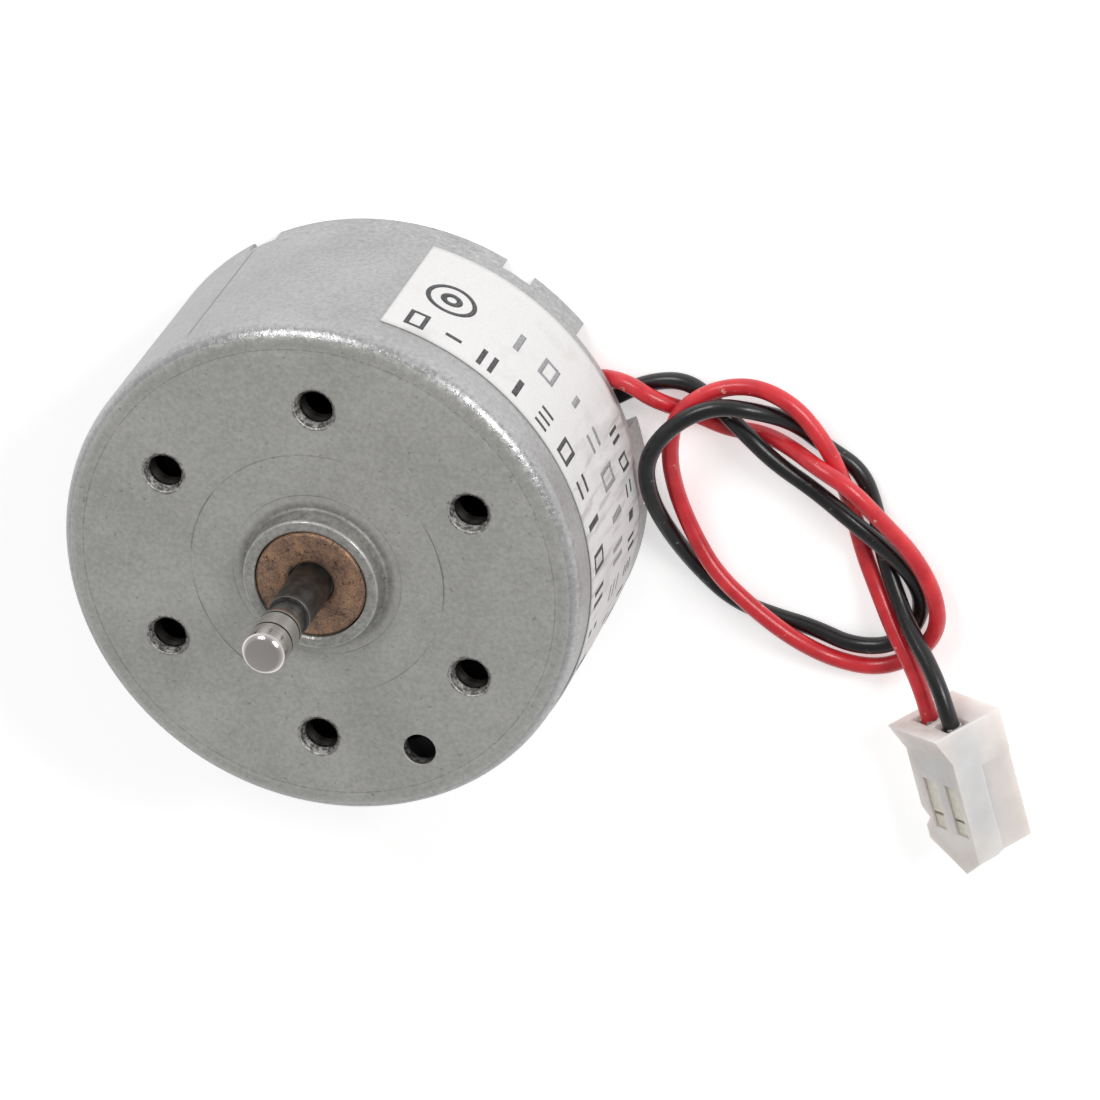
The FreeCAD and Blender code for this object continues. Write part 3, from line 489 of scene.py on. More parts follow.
def boss_marks(tree, axes, radius, on_face):
    """On the bearing boss: grime and painted shade round its foot, its darker top ring and a painted
    highlight on its edges.
    """
    on_boss = above(tree, axes["Z"], BOSS_TOP - 0.22)
    # Darker band round the boss's foot: grime, with painted shade where the boss meets the face.
    foot_grime_and_shade = times(tree, band(tree, radius, BOSS_RADIUS, BOSS_RADIUS + 0.35, 0.5), on_face,
                 maths(tree, "SUBTRACT", 1.0, on_boss),
                 ramp(tree, noise(tree, 0.7, 5, 0.75), [(0.35, 0.35), (0.65, 0.8)]))
    ring_top = times(tree, on_boss, ramp(tree, noise(tree, 0.35, 5, 0.75), [(0.38, 0.55), (0.62, 0.1)]))
    # The boss's edges, which are painted lighter as a highlight.
    edges = maths(tree, "MAXIMUM", band(tree, radius, BOSS_RADIUS - 0.14, BOSS_RADIUS + 0.02, 0.05),
                  band(tree, radius, BORE_RADIUS, BORE_RADIUS + 0.1, 0.05))
    lightening = times(tree, edges, on_boss, ramp(tree, noise(tree, 0.5, 4, 0.7), [(0.4, 0.1), (0.6, 1.0)]))
    return foot_grime_and_shade, ring_top, lightening


def inside_look(tree, axes, fine):
    """The colour of the screw holes' walls: a dark grey of painted shade, going to near black further down as
    deeper painted shade.
    """
    deep = fade(tree, axes["Z"], CAN_TOP - 0.6, CAN_TOP - 1.1)
    dimmed = ramp(tree, fine, [(0.42, (0.06, 0.057, 0.053)), (0.62, (0.36, 0.35, 0.34))])
    return blend_colours(tree, deep, dimmed, (0.02, 0.017, 0.015))


def rubbed_rim(tree, axes, radius):
    """1 on the can's rounded front rim where it is rubbed bright, and less on its far side."""
    across = maths(tree, "ADD", axes["Y"], times(tree, axes["X"], 0.5))
    return times(tree, band(tree, radius, 17.05, 18.3, 0.15),
                 band(tree, axes["Z"], CAN_TOP - RIM_ROUND, CAN_TOP, 0.4), fade(tree, across, -6, 6, 0.25))


def can_steel():
    """Matt zinc-plated steel with faint turned rings on its face, a score down its side and small specks."""
    material, tree, shader = new_material("can_steel", Metallic=0.6)
    fine = noise(tree, 0.3, 5, 0.65)
    cloud = noise(tree, 6.0, 3)
    specks = noise(tree, 0.42, 2, 0.5, (1, 1, 0.6))
    point = tree.nodes.new("ShaderNodeTexCoord").outputs["Object"]
    flat = add_node(tree, "ShaderNodeVectorMath", {0: point, 1: (1, 1, 0)}, operation="MULTIPLY").outputs[0]
    radius = add_node(tree, "ShaderNodeVectorMath", {0: flat}, operation="LENGTH").outputs["Value"]
    axes = add_node(tree, "ShaderNodeSeparateXYZ", {0: point}).outputs
    on_face = above(tree, axes["Z"], CAN_TOP - 0.2)

    tone = mingled(tree, fine, cloud, 0.7)
    face = ramp(tree, tone, [(0.39, (0.45, 0.447, 0.422)), (0.61, (0.57, 0.566, 0.54))])
    side = ramp(tree, tone, [(0.39, (0.335, 0.336, 0.336)), (0.61, (0.465, 0.466, 0.466))])
    colour = blend_colours(tree, on_face, side, face)
    lines = turned_lines(tree, axes, radius, on_face)
    colour = blend_colours(tree, lines, colour, (0.09, 0.085, 0.08))
    dirt = ramp(tree, specks, [(0.0, 0.5), (0.27, 0.35), (0.3, 0.0)])
    colour = blend_colours(tree, dirt, colour, (0.13, 0.12, 0.11))

    foot_grime_and_shade, ring_top, lightening = boss_marks(tree, axes, radius, on_face)
    # Grime and painted shade round the boss's foot.
    colour = blend_colours(tree, foot_grime_and_shade, colour, (0.12, 0.115, 0.11))
    colour = blend_colours(tree, ring_top, colour, (0.16, 0.157, 0.15))
    # A painted highlight along the boss's edges.
    colour = blend_colours(tree, times(tree, lightening, 0.5), colour, (0.62, 0.62, 0.61))

    # Painted shade: the screw holes' walls and the can's inside are given a dark colour.
    inside = times(tree, band(tree, axes["Z"], 16.0, CAN_TOP - 0.07, 0.02),
                   maths(tree, "LESS_THAN", radius, 17.2 * MM))
    colour = blend_colours(tree, inside, colour, inside_look(tree, axes, fine))
    burr = times(tree, band(tree, screw_distance(tree, axes, radius), 1.44, 1.52, 0.1),
                 ramp(tree, noise(tree, 0.45, 4, 0.75), [(0.42, 0.0), (0.58, 0.75)]), on_face)
    colour = blend_colours(tree, burr, colour, (0.1, 0.095, 0.09))

    low = band(tree, axes["Z"], -1.0, 2.4, 0.8)
    scuffed = noise(tree, 0.55, 5, 0.75, (1, 1, 1.6))
    bright = times(tree, low, ramp(tree, scuffed, [(0.54, 0.0), (0.66, 0.4)]))
    colour = blend_colours(tree, bright, colour, (0.72, 0.72, 0.71))
    dark = times(tree, low, ramp(tree, scuffed, [(0.34, 0.35), (0.44, 0.0)]))
    colour = blend_colours(tree, dark, colour, (0.17, 0.168, 0.165))

    rim = rubbed_rim(tree, axes, radius)
    drawn = noise(tree, 0.5, 4, 0.7, (1, 1, 0.5))
    shine = ramp(tree, tone, [(0.35, 0.44), (0.65, 0.58)])
    shine = blend_colours(tree, rim, shine, ramp(tree, drawn, [(0.38, 0.14), (0.62, 0.42)]))
    shine = blend_colours(tree, lightening, shine, (0.22, 0.22, 0.22))
    relief = bumped(tree, fine, 0.01)
    relief = bumped(tree, times(tree, rim, drawn), 0.05, 1.0, relief)
    relief = bumped(tree, times(tree, foot_grime_and_shade, specks), 0.03, 1.0, relief)
    relief = bumped(tree, lines, -0.02, 1.0, relief)
    finish_shader(tree, shader, colour, shine, relief)
    return material


def sintered_bronze():
    """Pressed bronze powder: brown to orange, spotted and dull."""
    material, tree, shader = new_material("sintered_bronze", Metallic=0.55)
    fine = noise(tree, 0.16, 4, 0.7)
    broad = noise(tree, 1.1, 3, 0.6)
    colour = ramp(tree, mingled(tree, fine, broad, 0.55),
                  [(0.38, (0.15, 0.1, 0.08)), (0.5, (0.33, 0.205, 0.14)), (0.64, (0.56, 0.33, 0.19))])
    pores = ramp(tree, noise(tree, 0.3, 3, 0.7), [(0.32, 1.0), (0.42, 0.0)])
    colour = blend_colours(tree, pores, colour, (0.05, 0.035, 0.03))
    shine = ramp(tree, fine, [(0.3, 0.66), (0.7, 0.46)])
    finish_shader(tree, shader, colour, shine, bumped(tree, fine, 0.03))
    return material


def shaft_steel():
    """Ground steel: fine rings round the shaft, bright at its tip with a faint pink that is a painted
    reflection, darker and rougher towards the bush, with painted shade in its two grooves and its neck.
    """
    material, tree, shader = new_material("shaft_steel", Metallic=1.0)
    rings = noise(tree, 0.35, 3, 0.6, (0.02, 0.02, 4))
    blotches = noise(tree, 0.8, 3)
    height = add_node(tree, "ShaderNodeSeparateXYZ", {0: place_of(tree)}).outputs["Z"]
    # Darker and rougher towards the bush.
    dimmed = fade(tree, height, 24.4, 26.4, 1.0, 0.0)
    # The tip's colour leans pink: a painted reflection.
    bright = ramp(tree, rings, [(0.35, (0.46, 0.43, 0.42)), (0.65, (0.8, 0.755, 0.74))])
    dull = ramp(tree, blotches, [(0.35, (0.075, 0.074, 0.073)), (0.65, (0.15, 0.148, 0.146))])
    colour = blend_colours(tree, dimmed, bright, dull)
    # Painted shade in the two fine grooves and, in patches, in the neck.
    upper, lower = (band(tree, height, ring - 0.06, ring + 0.06, 0.06) for ring in SHAFT_RINGS)
    groove_shade = maths(tree, "MAXIMUM", upper, lower)
    patchy_shade = ramp(tree, blotches, [(0.35, 0.85), (0.6, 0.55)])
    neck = times(tree, band(tree, height, 24.8, NECK_TOP, 0.25), patchy_shade)
    colour = blend_colours(tree, maths(tree, "MAXIMUM", groove_shade, neck), colour, (0.035, 0.034, 0.033))
    shine = blend_colours(tree, dimmed, ramp(tree, rings, [(0.3, 0.12), (0.7, 0.26)]), (0.42, 0.42, 0.42))
    finish_shader(tree, shader, colour, shine, bumped(tree, rings, 0.0012))
    return material


def label_paper():
    """Matt white paper with a faint fibre, a few grey smudges, and grey streaks along its creases that are
    painted shade with some staining.
    """
    material, tree, shader = new_material("label_paper", Roughness=0.75)
    fibre = noise(tree, 0.22, 5, 0.7, (1, 1, 2.2))
    smudge = noise(tree, 3.2, 3)
    colour = ramp(tree, fibre, [(0.3, (0.63, 0.62, 0.615)), (0.7, (0.73, 0.72, 0.715))])
    colour = blend_colours(tree, ramp(tree, smudge, [(0.56, 0.0), (0.78, 0.45)]), colour, (0.5, 0.48, 0.46))
    across = add_node(tree, "ShaderNodeSeparateXYZ", {0: place_of(tree)}).outputs["Y"]
    # Grey streaks along the creases near the leads' exit: painted shade in the creases, with some staining.
    creased = ramp(tree, noise(tree, 0.8, 3, 0.6, (1, 1, 0.16)), [(0.52, 0.0), (0.66, 0.7)])
    crease_shade_and_stain = times(tree, creased, band(tree, across, -3, 7, 3))
    colour = blend_colours(tree, crease_shade_and_stain, colour, (0.42, 0.4, 0.39))
    finish_shader(tree, shader, colour, None, bumped(tree, fibre, 0.012))
    return material


def print_ink(name, dark, light):
    """Printed ink that lets a little of the paper through."""
    material, tree, shader = new_material(name, Roughness=0.6)
    lightening = noise(tree, 0.14, 4, 0.7)
    colour = ramp(tree, lightening, [(0.4, dark), (0.68, light)])
    finish_shader(tree, shader, colour, None, bumped(tree, lightening, 0.002))
    return material


def pvc(name, deep, plain, scuffed, gloss):
    """Glossy soft insulation with a slight waviness and a few pale scuffs."""
    material, tree, shader = new_material(name, Coat_Weight=0.15, Coat_Roughness=0.1)
    wave = noise(tree, 1.6, 2)
    fine = noise(tree, 0.2, 4, 0.7)
    rubs = noise(tree, 1.3, 5, 0.75)
    colour = ramp(tree, wave, [(0.3, deep), (0.7, plain)])
    scuffs = ramp(tree, rubs, [(0.64, 0.0), (0.68, 0.8)])
    colour = blend_colours(tree, scuffs, colour, scuffed)
    shine = ramp(tree, fine, [(0.3, gloss), (0.7, gloss + 0.12)])
    relief = bumped(tree, wave, 0.04)
    finish_shader(tree, shader, colour, shine, bumped(tree, fine, 0.004, 1.0, relief))
    return material


def ivory_nylon():
    """Slightly see-through ivory nylon with soft sink marks and dirt in a few places."""
    material, tree, shader = new_material("ivory_nylon", Subsurface_Weight=0.7, Subsurface_Scale=1.4 * MM,
                                          Subsurface_Radius=(1.0, 0.8, 0.65))
    fine = noise(tree, 0.18, 3)
    broad = noise(tree, 2.4, 3)
    colour = ramp(tree, broad, [(0.3, (0.70, 0.65, 0.625)), (0.7, (0.79, 0.745, 0.72))])
    grime = ramp(tree, noise(tree, 0.7, 5, 0.7), [(0.7, 0.0), (0.76, 0.5)])
    colour = blend_colours(tree, grime, colour, (0.42, 0.36, 0.31))
    shine = ramp(tree, fine, [(0.3, 0.34), (0.7, 0.5)])
    finish_shader(tree, shader, colour, shine, bumped(tree, fine, 0.006))
    return material


def tinned_contact():
    """Tin plate, shiny round the wire where its grey is darkened as painted shade in the cavity, and a dull
    cream at the latch.
    """
    material, tree, shader = new_material("tinned_contact", Metallic=0.45)
    point = tree.nodes.new("ShaderNodeTexCoord").outputs["Object"]
    entry = tuple(CONNECTOR_PLACE.translation)
    heading = tuple(CONNECTOR_PLACE.to_3x3() @ Vector((0, 1, 0)))
    offset = add_node(tree, "ShaderNodeVectorMath", {0: point, 1: entry}, operation="SUBTRACT").outputs[0]
    along = add_node(tree, "ShaderNodeVectorMath", {0: offset, 1: heading},
                     operation="DOT_PRODUCT").outputs["Value"]
    at_wire = maths(tree, "LESS_THAN", along, 3.9 * MM)
    fine = noise(tree, 0.3, 4)
    cream = ramp(tree, fine, [(0.35, (0.70, 0.665, 0.57)), (0.65, (0.80, 0.77, 0.68))])
    # Grey tin at the wire end, darker than the tin itself: painted shade inside the housing's cavity.
    tin_and_cavity_shade = ramp(tree, fine, [(0.4, (0.2, 0.2, 0.2)), (0.6, (0.55, 0.55, 0.55))])
    colour = blend_colours(tree, at_wire, cream, tin_and_cavity_shade)
    shine = blend_colours(tree, at_wire, (0.5, 0.5, 0.5), ramp(tree, fine, [(0.3, 0.2), (0.7, 0.34)]))
    finish_shader(tree, shader, colour, shine, bumped(tree, fine, 0.004))
    return material


def stripes(tree, spacing, distortion, detail, direction):
    """Wavy stripes about so many millimetres apart."""
    scale = 3.1 / math.tau / (spacing * MM)
    inputs = {"Vector": place_of(tree), "Scale": scale, "Distortion": distortion, "Detail": detail}
    return add_node(tree, "ShaderNodeTexWave", inputs, wave_type="BANDS",
                    bands_direction=direction).outputs["Fac"]


def laminated_steel():
    """Stacked electrical steel sheets, seen as fine lines across the stack."""
    material, tree, shader = new_material("laminated_steel", Metallic=0.9)
    sheets = stripes(tree, 0.5, 0.3, 1.0, "Z")
    fine = noise(tree, 0.2, 3)
    colour = ramp(tree, sheets, [(0.1, (0.05, 0.05, 0.055)), (0.35, (0.24, 0.24, 0.25))])
    shine = ramp(tree, fine, [(0.3, 0.4), (0.7, 0.6)])
    finish_shader(tree, shader, colour, shine, bumped(tree, sheets, 0.03))
    return material


def wound_copper():
    """Enamelled copper wire, laid turn beside turn."""
    material, tree, shader = new_material("wound_copper", Metallic=0.85, Coat_Weight=0.4)
    turns = stripes(tree, 0.3, 1.2, 2.0, "DIAGONAL")
    colour = ramp(tree, turns, [(0.1, (0.16, 0.05, 0.02)), (0.6, (0.62, 0.26, 0.11))])
    shine = ramp(tree, noise(tree, 0.15, 3), [(0.3, 0.25), (0.7, 0.4)])
    finish_shader(tree, shader, colour, shine, bumped(tree, turns, 0.06))
    return material


# ---------------------------------------------------------------- can

def thread_flank(top, turns):
    """Crests and roots of an internal thread, going down from a height."""
    points = []
    for k in range(turns):
        points.append((THREAD_MINOR, top - THREAD_PITCH * k))
        points.append((THREAD_MAJOR, top - THREAD_PITCH * (k + 0.5)))
    points.append((THREAD_MINOR, top - THREAD_PITCH * turns))
    return points


def make_can(material):
    """Drawn can: rolled rim, bearing boss, tapped holes, a plain hole, lug slots and the leads' notch."""
    inner_top = CAN_TOP - CAN_WALL
    profile = [(BORE_RADIUS, BOSS_TOP - 0.12), (BORE_RADIUS + 0.12, BOSS_TOP)]
    profile += arc(BOSS_RADIUS - 0.16, BOSS_TOP - 0.16, 0.16, 90, 0, 4)
    profile += [(BOSS_RADIUS + 0.05, CAN_TOP + 0.75)]
    profile += arc(BOSS_RADIUS + 0.42, CAN_TOP + 0.3, 0.3, 180, 270, 5)
    profile += [(BOSS_RADIUS + 0.6, CAN_TOP)]
    for ring, depth in FACE_RINGS:
        for across, down in ((-0.16, 0), (-0.06, 0), (0, depth), (0.06, 0), (0.16, 0)):
            profile.append((ring + across, CAN_TOP - down))
    profile += [(16.3, CAN_TOP), (16.5, CAN_TOP), (16.8, CAN_TOP - 0.06), (17.0, CAN_TOP - 0.03)]
    profile += arc(CAN_RADIUS - RIM_ROUND, CAN_TOP - RIM_ROUND, RIM_ROUND, 84, 0, 9)
    profile += [(CAN_RADIUS, 0.12), (CAN_RADIUS - 0.12, 0)]
    profile += [(CAN_RADIUS - CAN_WALL + 0.1, 0), (CAN_RADIUS - CAN_WALL, 0.1)]
    profile += arc(CAN_RADIUS - CAN_WALL - 0.5, inner_top - 0.5, 0.5, 0, 90, 4)
    profile += [(BORE_RADIUS + 0.2, inner_top), (BORE_RADIUS, inner_top - 0.0001)]
    can = apply_stack(turned("can_shell", profile, 192))

    mouth = CAN_TOP + 0.2
    hole = [(0, mouth), (1.54, mouth), (1.47, CAN_TOP), (1.4, CAN_TOP - 0.07)]
    hole += [(THREAD_MINOR + 0.08, CAN_TOP - 0.12)] + thread_flank(CAN_TOP - 0.2, 2)
    hole += [(THREAD_MINOR, inner_top - 0.4), (0, inner_top - 0.4)]
    places = [Matrix.Translation(at_angle(SCREW_CIRCLE, angle)) for angle in SCREW_ANGLES]
    cut_away(can, copies("hole_cutters", apply_stack(turned("hole_cutter", hole, 48)), places))

    plain = [(0, mouth), (LOCATING_RADIUS + 0.18, mouth), (LOCATING_RADIUS, CAN_TOP - 0.05),
             (LOCATING_RADIUS, inner_top - 0.3), (0, inner_top - 0.3)]
    place = Matrix.Translation(at_angle(LOCATING_CIRCLE, LOCATING_ANGLE))
    cut_away(can, copies("plain_cutter", apply_stack(turned("plain_hole", plain, 48)), [place]))

    bm = bmesh.new()
    openings = [(angle, SLOT_WIDTH / 2, SLOT_HEIGHT) for angle in LUG_ANGLES]
    openings.append((NOTCH_ANGLE, NOTCH_WIDTH / 2, NOTCH_HEIGHT))
    for angle, half, height in openings:
        turn = Matrix.Rotation(math.radians(angle), 4, "Z")
        box_mesh(bm, (CAN_RADIUS - 2, -half, -1), (CAN_RADIUS + 1, half, height), turn)
    cut_away(can, from_bmesh("rim_cutters", bm))
    return present(can, "stator", "can_steel", material, "can")


def make_tapped_collars(material):
    """The six collars that the thread taps were run through, pushed out of the sheet into the can."""
    top = CAN_TOP - CAN_WALL
    profile = [(2.1, top), (1.95, top - 0.5), (1.8, top - 0.95), (1.6, top - 1.0)]
    profile += list(reversed(thread_flank(top, 2)))
    places = [Matrix.Translation(at_angle(SCREW_CIRCLE, angle)) for angle in SCREW_ANGLES]
    collars = copies("tapped_collars", apply_stack(turned("tapped_collar", profile, 48)), places)
    apply_stack(collars)
    return present(collars, "stator", "can_steel", material)


def make_crimp_lugs(material):
    """Six lugs pressed in from the can's rim under the rear plate."""
    bm = bmesh.new()
    for angle in LUG_ANGLES:
        turn = Matrix.Rotation(math.radians(angle), 4, "Z")
        box_mesh(bm, (LUG_INNER, -LUG_WIDTH / 2, LUG_FOOT), (LUG_OUTER, LUG_WIDTH / 2, LUG_TOP), turn)
    lugs = from_bmesh("crimp_lugs", bm)
    soften(lugs, 0.25, 3)
    return present(lugs, "stator", "can_steel", material)


# ---------------------------------------------------------------- bush and shaft

def make_bush(material):
    """Flanged bush, with a chamfer round its top and a small oil cup round the shaft."""
    top = BUSH_TOP
    flange = CAN_TOP - CAN_WALL
    profile = [(BUSH_BORE, top - 0.45), (1.62, top - 0.2), (1.95, top), (3.72, top)]
    profile += [(BUSH_RADIUS, top - 0.16), (BUSH_RADIUS, flange), (FLANGE_RADIUS, flange)]
    profile += [(FLANGE_RADIUS, flange - FLANGE_THICK), (BUSH_BORE, flange - FLANGE_THICK)]
    bush = turned("bronze_bush", profile, 128)
    soften(bush, 0.05)
    return present(bush, "stator", "sintered_bronze", material, "front_bush")


def ring_line(radius, height, depth=0.1, half=0.06):
    """A fine groove in a shaft's outline, met on the way down."""
    return [(radius, height + half), (radius - depth, height), (radius, height - half)]


def make_shaft(material):
    """Ground shaft: chamfered tip, two fine rings, a neck and an oil groove in the bush's mouth."""
    full, neck = SHAFT_RADIUS, NECK_RADIUS
    profile = [(0, SHAFT_TOP), (1.12, SHAFT_TOP), (1.22, SHAFT_TOP - 0.03)]
    profile += [(full - 0.02, SHAFT_TOP - 0.32), (full, SHAFT_TOP - 0.38)]
    for height in SHAFT_RINGS:
        profile += ring_line(full, height)
    profile += [(full, NECK_TOP + 0.3), (full - 0.05, NECK_TOP + 0.2), (neck, NECK_TOP)]
    profile += [(neck, NECK_FOOT), (full - 0.04, NECK_FOOT - 0.04), (full, NECK_FOOT - 0.1)]
    profile += [(full, OIL_GROOVE_TOP + 0.04), (neck, OIL_GROOVE_TOP)]
    profile += [(neck, OIL_GROOVE_FOOT), (full, OIL_GROOVE_FOOT - 0.04)]
    profile += [(full, SHAFT_FOOT + 0.35), (full - 0.35, SHAFT_FOOT), (0, SHAFT_FOOT)]
    shaft = turned("ground_shaft", profile, 96)
    apply_stack(shaft)
    return present(shaft, "rotor", "shaft_steel", material, "shaft")


# ---------------------------------------------------------------- label

# Each wrinkle: its angle and how wide it is in degrees, its height, reach and depth in millimetres.
WRINKLES = ((25, 1.3, 5.0, 2.6, 0.16), (19, 1.0, 7.5, 3.6, 0.13), (13, 1.2, 5.0, 2.4, 0.15),
            (7, 1.4, 9.0, 3.2, 0.12), (-6, 2.0, 5.5, 3.0, 0.08), (-24, 3.0, 10.0, 4.5, 0.05))
PRINT_LIFT = 0.004
INK_THICK = 0.008


def label_point(angle, height, lift=0.0):
    """A place on the label's outer face, wrinkles included, in metres. Degrees and millimetres."""
    radius = LABEL_INNER + LABEL_THICK + lift
    for middle, width, level, reach, depth in WRINKLES:
        lean = middle + (height - level) * 0.5
        radius += depth * math.exp(-((angle - lean) / width) ** 2 - ((height - level) / reach) ** 2)
    return at_angle(radius, angle, height)


def surface_patch(bm, corners_of, columns, rows, lift):
    """A grid of faces on the label's face, where corners_of(s, t) gives the angle and height."""
    grid = [[bm.verts.new(label_point(*corners_of(i / columns, j / rows), lift)) for i in range(columns + 1)]
            for j in range(rows + 1)]
    for j in range(rows):
        for i in range(columns):
            bm.faces.new((grid[j][i], grid[j][i + 1], grid[j + 1][i + 1], grid[j + 1][i]))


def make_label(material):
    """Paper label wrapped round the side, a little creased."""
    bm = bmesh.new()
    surface_patch(bm, lambda s, t: (LABEL_START + (LABEL_END - LABEL_START) * s,
                                    LABEL_LOW + (LABEL_HIGH - LABEL_LOW) * t), 260, 26, 0.0)
    label = from_bmesh("paper_label", bm)
    label.data.shade_smooth()
    thicken = label.modifiers.new("paper", "SOLIDIFY")
    thicken.thickness = (LABEL_THICK - 0.01) * MM
    thicken.offset = -1
    return present(label, "stator", "label_paper", material, "label")


def printed_bar(bm, angle, height, wide, tall):
    """One printed bar, its middle at an angle and a height, so many millimetres wide and tall."""
    half = math.degrees(wide / 2 / CAN_RADIUS)
    columns = max(1, round(wide / 0.25))
    rows = max(1, round(tall / 0.3))
    surface_patch(bm, lambda s, t: (angle - half + 2 * half * s, height + tall * (t - 0.5)),
                  columns, rows, PRINT_LIFT)


def printed_ring(bm, angle, height, inner, outer, sides=40):
    """One printed ring."""
    rim = []
    for k in range(sides):
        turn = math.tau * k / sides
        for radius in (inner, outer):
            across = math.degrees(radius * math.cos(turn) / CAN_RADIUS)
            up = radius * math.sin(turn)
            rim.append(bm.verts.new(label_point(angle + across, height + up, PRINT_LIFT)))
    for k in range(sides):
        nxt = (k + 1) % sides
        bm.faces.new((rim[2 * k], rim[2 * k + 1], rim[2 * nxt + 1], rim[2 * nxt]))


def finish_print(name, bm, material):
    """Give a sheet of printed marks its thickness and its place on the label."""
    bmesh.ops.recalc_face_normals(bm, faces=bm.faces)
    marks = from_bmesh(name, bm)
    marks.data.shade_smooth()
    film = marks.modifiers.new("film", "SOLIDIFY")
    film.thickness = INK_THICK * MM
    film.offset = 1
    return present(marks, "stator", "label_paper", material)


STROKES = {
    # Each mark is a few plain strokes: (across, up, wide, tall), in millimetres from the mark's middle.
    "post": [(0, 0, 0.42, 1.9)],
    "dash": [(0, 0, 1.1, 0.34)],
    "rails": [(0, 0.55, 1.2, 0.32), (0, -0.55, 1.2, 0.32)],
    "posts": [(-0.42, 0, 0.34, 1.9), (0.42, 0, 0.34, 1.9)],
    "dots": [(0, 0.6, 0.45, 0.45), (0, -0.6, 0.45, 0.45)],
    "half": [(0, -0.4, 0.42, 1.1)],
    "frame": [(-0.5, 0, 0.3, 1.9), (0.5, 0, 0.3, 1.9), (0, 0.82, 0.7, 0.26), (0, -0.82, 0.7, 0.26)],
    "block": [(0, 0, 0.95, 1.2)],
    "ranks": [(0, 0.8, 1.1, 0.28), (0, 0, 1.1, 0.28), (0, -0.8, 1.1, 0.28)],
}


def print_line(bm, start, pitch, height, scale, order):
    """A line of marks from an angle on, at a height, each a pitch in degrees after the last."""
    for k, mark in enumerate(order.split()):
        for across, up, wide, tall in STROKES[mark]:
            turn = math.degrees(across * scale / CAN_RADIUS)
            printed_bar(bm, start - pitch * k + turn, height + up * scale, wide * scale, tall * scale)


def make_print(dark_ink, pale_ink):
    """Plain strokes and rings in the places of the label's lines: a code of no meaning."""
    bm = bmesh.new()
    print_line(bm, 72, 8.5, 13.35, 1.1,
               "frame dash posts post ranks frame rails post frame posts dots post rails ranks posts post")
    print_line(bm, 21, 6.3, 5.2, 0.8,
               "posts frame rails block posts ranks post frame posts rails half frame")
    printed_ring(bm, 68.3, 9.0, 1.5, 1.85)
    printed_ring(bm, 68.3, 9.0, 0.35, 0.8)
    finish_print("label_print_dark", bm, dark_ink)

    bm = bmesh.new()
    print_line(bm, 51.5, 8.8, 8.7, 1.15,
               "post frame half rails frame post posts ranks half dash posts")
    finish_print("label_print_pale", bm, pale_ink)


# ---------------------------------------------------------------- leads

def make_lead(name, route, material):
    """A lead as one smooth round tube along its route."""
    line = bpy.data.curves.new(name, "CURVE")
    line.dimensions = "3D"
    spline = line.splines.new("NURBS")
    spline.points.add(len(route) - 1)
    for point, place in zip(spline.points, route):
        point.co = (*(Vector(place) * MM), 1)
    spline.order_u = 3
    spline.use_endpoint_u = True
    spline.resolution_u = 12
    line.bevel_depth = LEAD_DIAMETER / 2 * MM
    line.bevel_resolution = 6
    line.use_fill_caps = True
    line.materials.append(material)
    return add_object(name, line)


# ---------------------------------------------------------------- connector

def make_housing(material):
    """Two-way crimp housing: entry lip, two latch windows, a pointed tongue and a side step."""
    side = [(0, HOUSING_FLOOR), (HOUSING_END, HOUSING_FLOOR), (HOUSING_END, TONGUE_UNDER)]
    side += [(TONGUE_TIP[1] + 0.3, TONGUE_UNDER), (TONGUE_TIP[1] + 0.3, HOUSING_FACE)]
    side += [(2.2, HOUSING_FACE), (2.0, 1.5), (0, 2.35)]
    bm = bmesh.new()
    outline = bm.faces.new([bm.verts.new(Vector((HOUSING_LEFT, along, up)) * MM) for along, up in side])
    made = bmesh.ops.extrude_face_region(bm, geom=[outline])
    bmesh.ops.translate(bm, verts=[item for item in made["geom"] if isinstance(item, bmesh.types.BMVert)],
                        vec=((HOUSING_RIGHT - HOUSING_LEFT) * MM, 0, 0))
    bmesh.ops.recalc_face_normals(bm, faces=bm.faces)
    housing = from_bmesh("crimp_housing", bm)

    middles = (-PITCH / 2, PITCH / 2)
    cavity, window = CAVITY_WIDTH / 2, WINDOW_WIDTH / 2
    carve_boxes(housing, [((x - cavity, -1, -cavity), (x + cavity, 12, cavity)) for x in middles])
    carve_boxes(housing, [((x - window, WINDOW_START, 0.3), (x + window, WINDOW_END, 3)) for x in middles])
    nick = Matrix.Translation(Vector((2.35, 7.6, 0)) * MM) @ Matrix.Rotation(math.radians(-45), 4, "Z")
    carve_boxes(housing, [((0, 0, -0.4), (3, 3, 3))], nick)
    carve_boxes(housing, [((-3, 3.3, -6), (HOUSING_LEFT + 0.12, 12, -0.8))])
    tip = Matrix.Translation(Vector(TONGUE_TIP) * MM)
    for turn, near, far in ((-TONGUE_SLANT, -2, 6), (TONGUE_BACK, -6, 2)):
        slant = tip @ Matrix.Rotation(math.radians(turn), 4, "Z")
        carve_boxes(housing, [((near, 0, -6), (far, 6, 6))], slant)
    soften(housing, 0.2, 3)
    apply_stack(housing)
    housing.data.transform(CONNECTOR_PLACE)
    return present(housing, "stator", "housing_nylon", material, "connector_housing")


def open_tube(bm, middle, near, far, radius, opening, sides=20):
    """Part of a tube along Y, open towards +Z by so many degrees."""
    rows = []
    for along in (near, far):
        row = []
        for k in range(sides + 1):
            turn = math.radians(90 + opening / 2 + (360 - opening) * k / sides)
            place = Vector((middle + radius * math.cos(turn), along, radius * math.sin(turn)))
            row.append(bm.verts.new(place * MM))
        rows.append(row)
    for k in range(sides):
        bm.faces.new((rows[0][k], rows[1][k], rows[1][k + 1], rows[0][k + 1]))


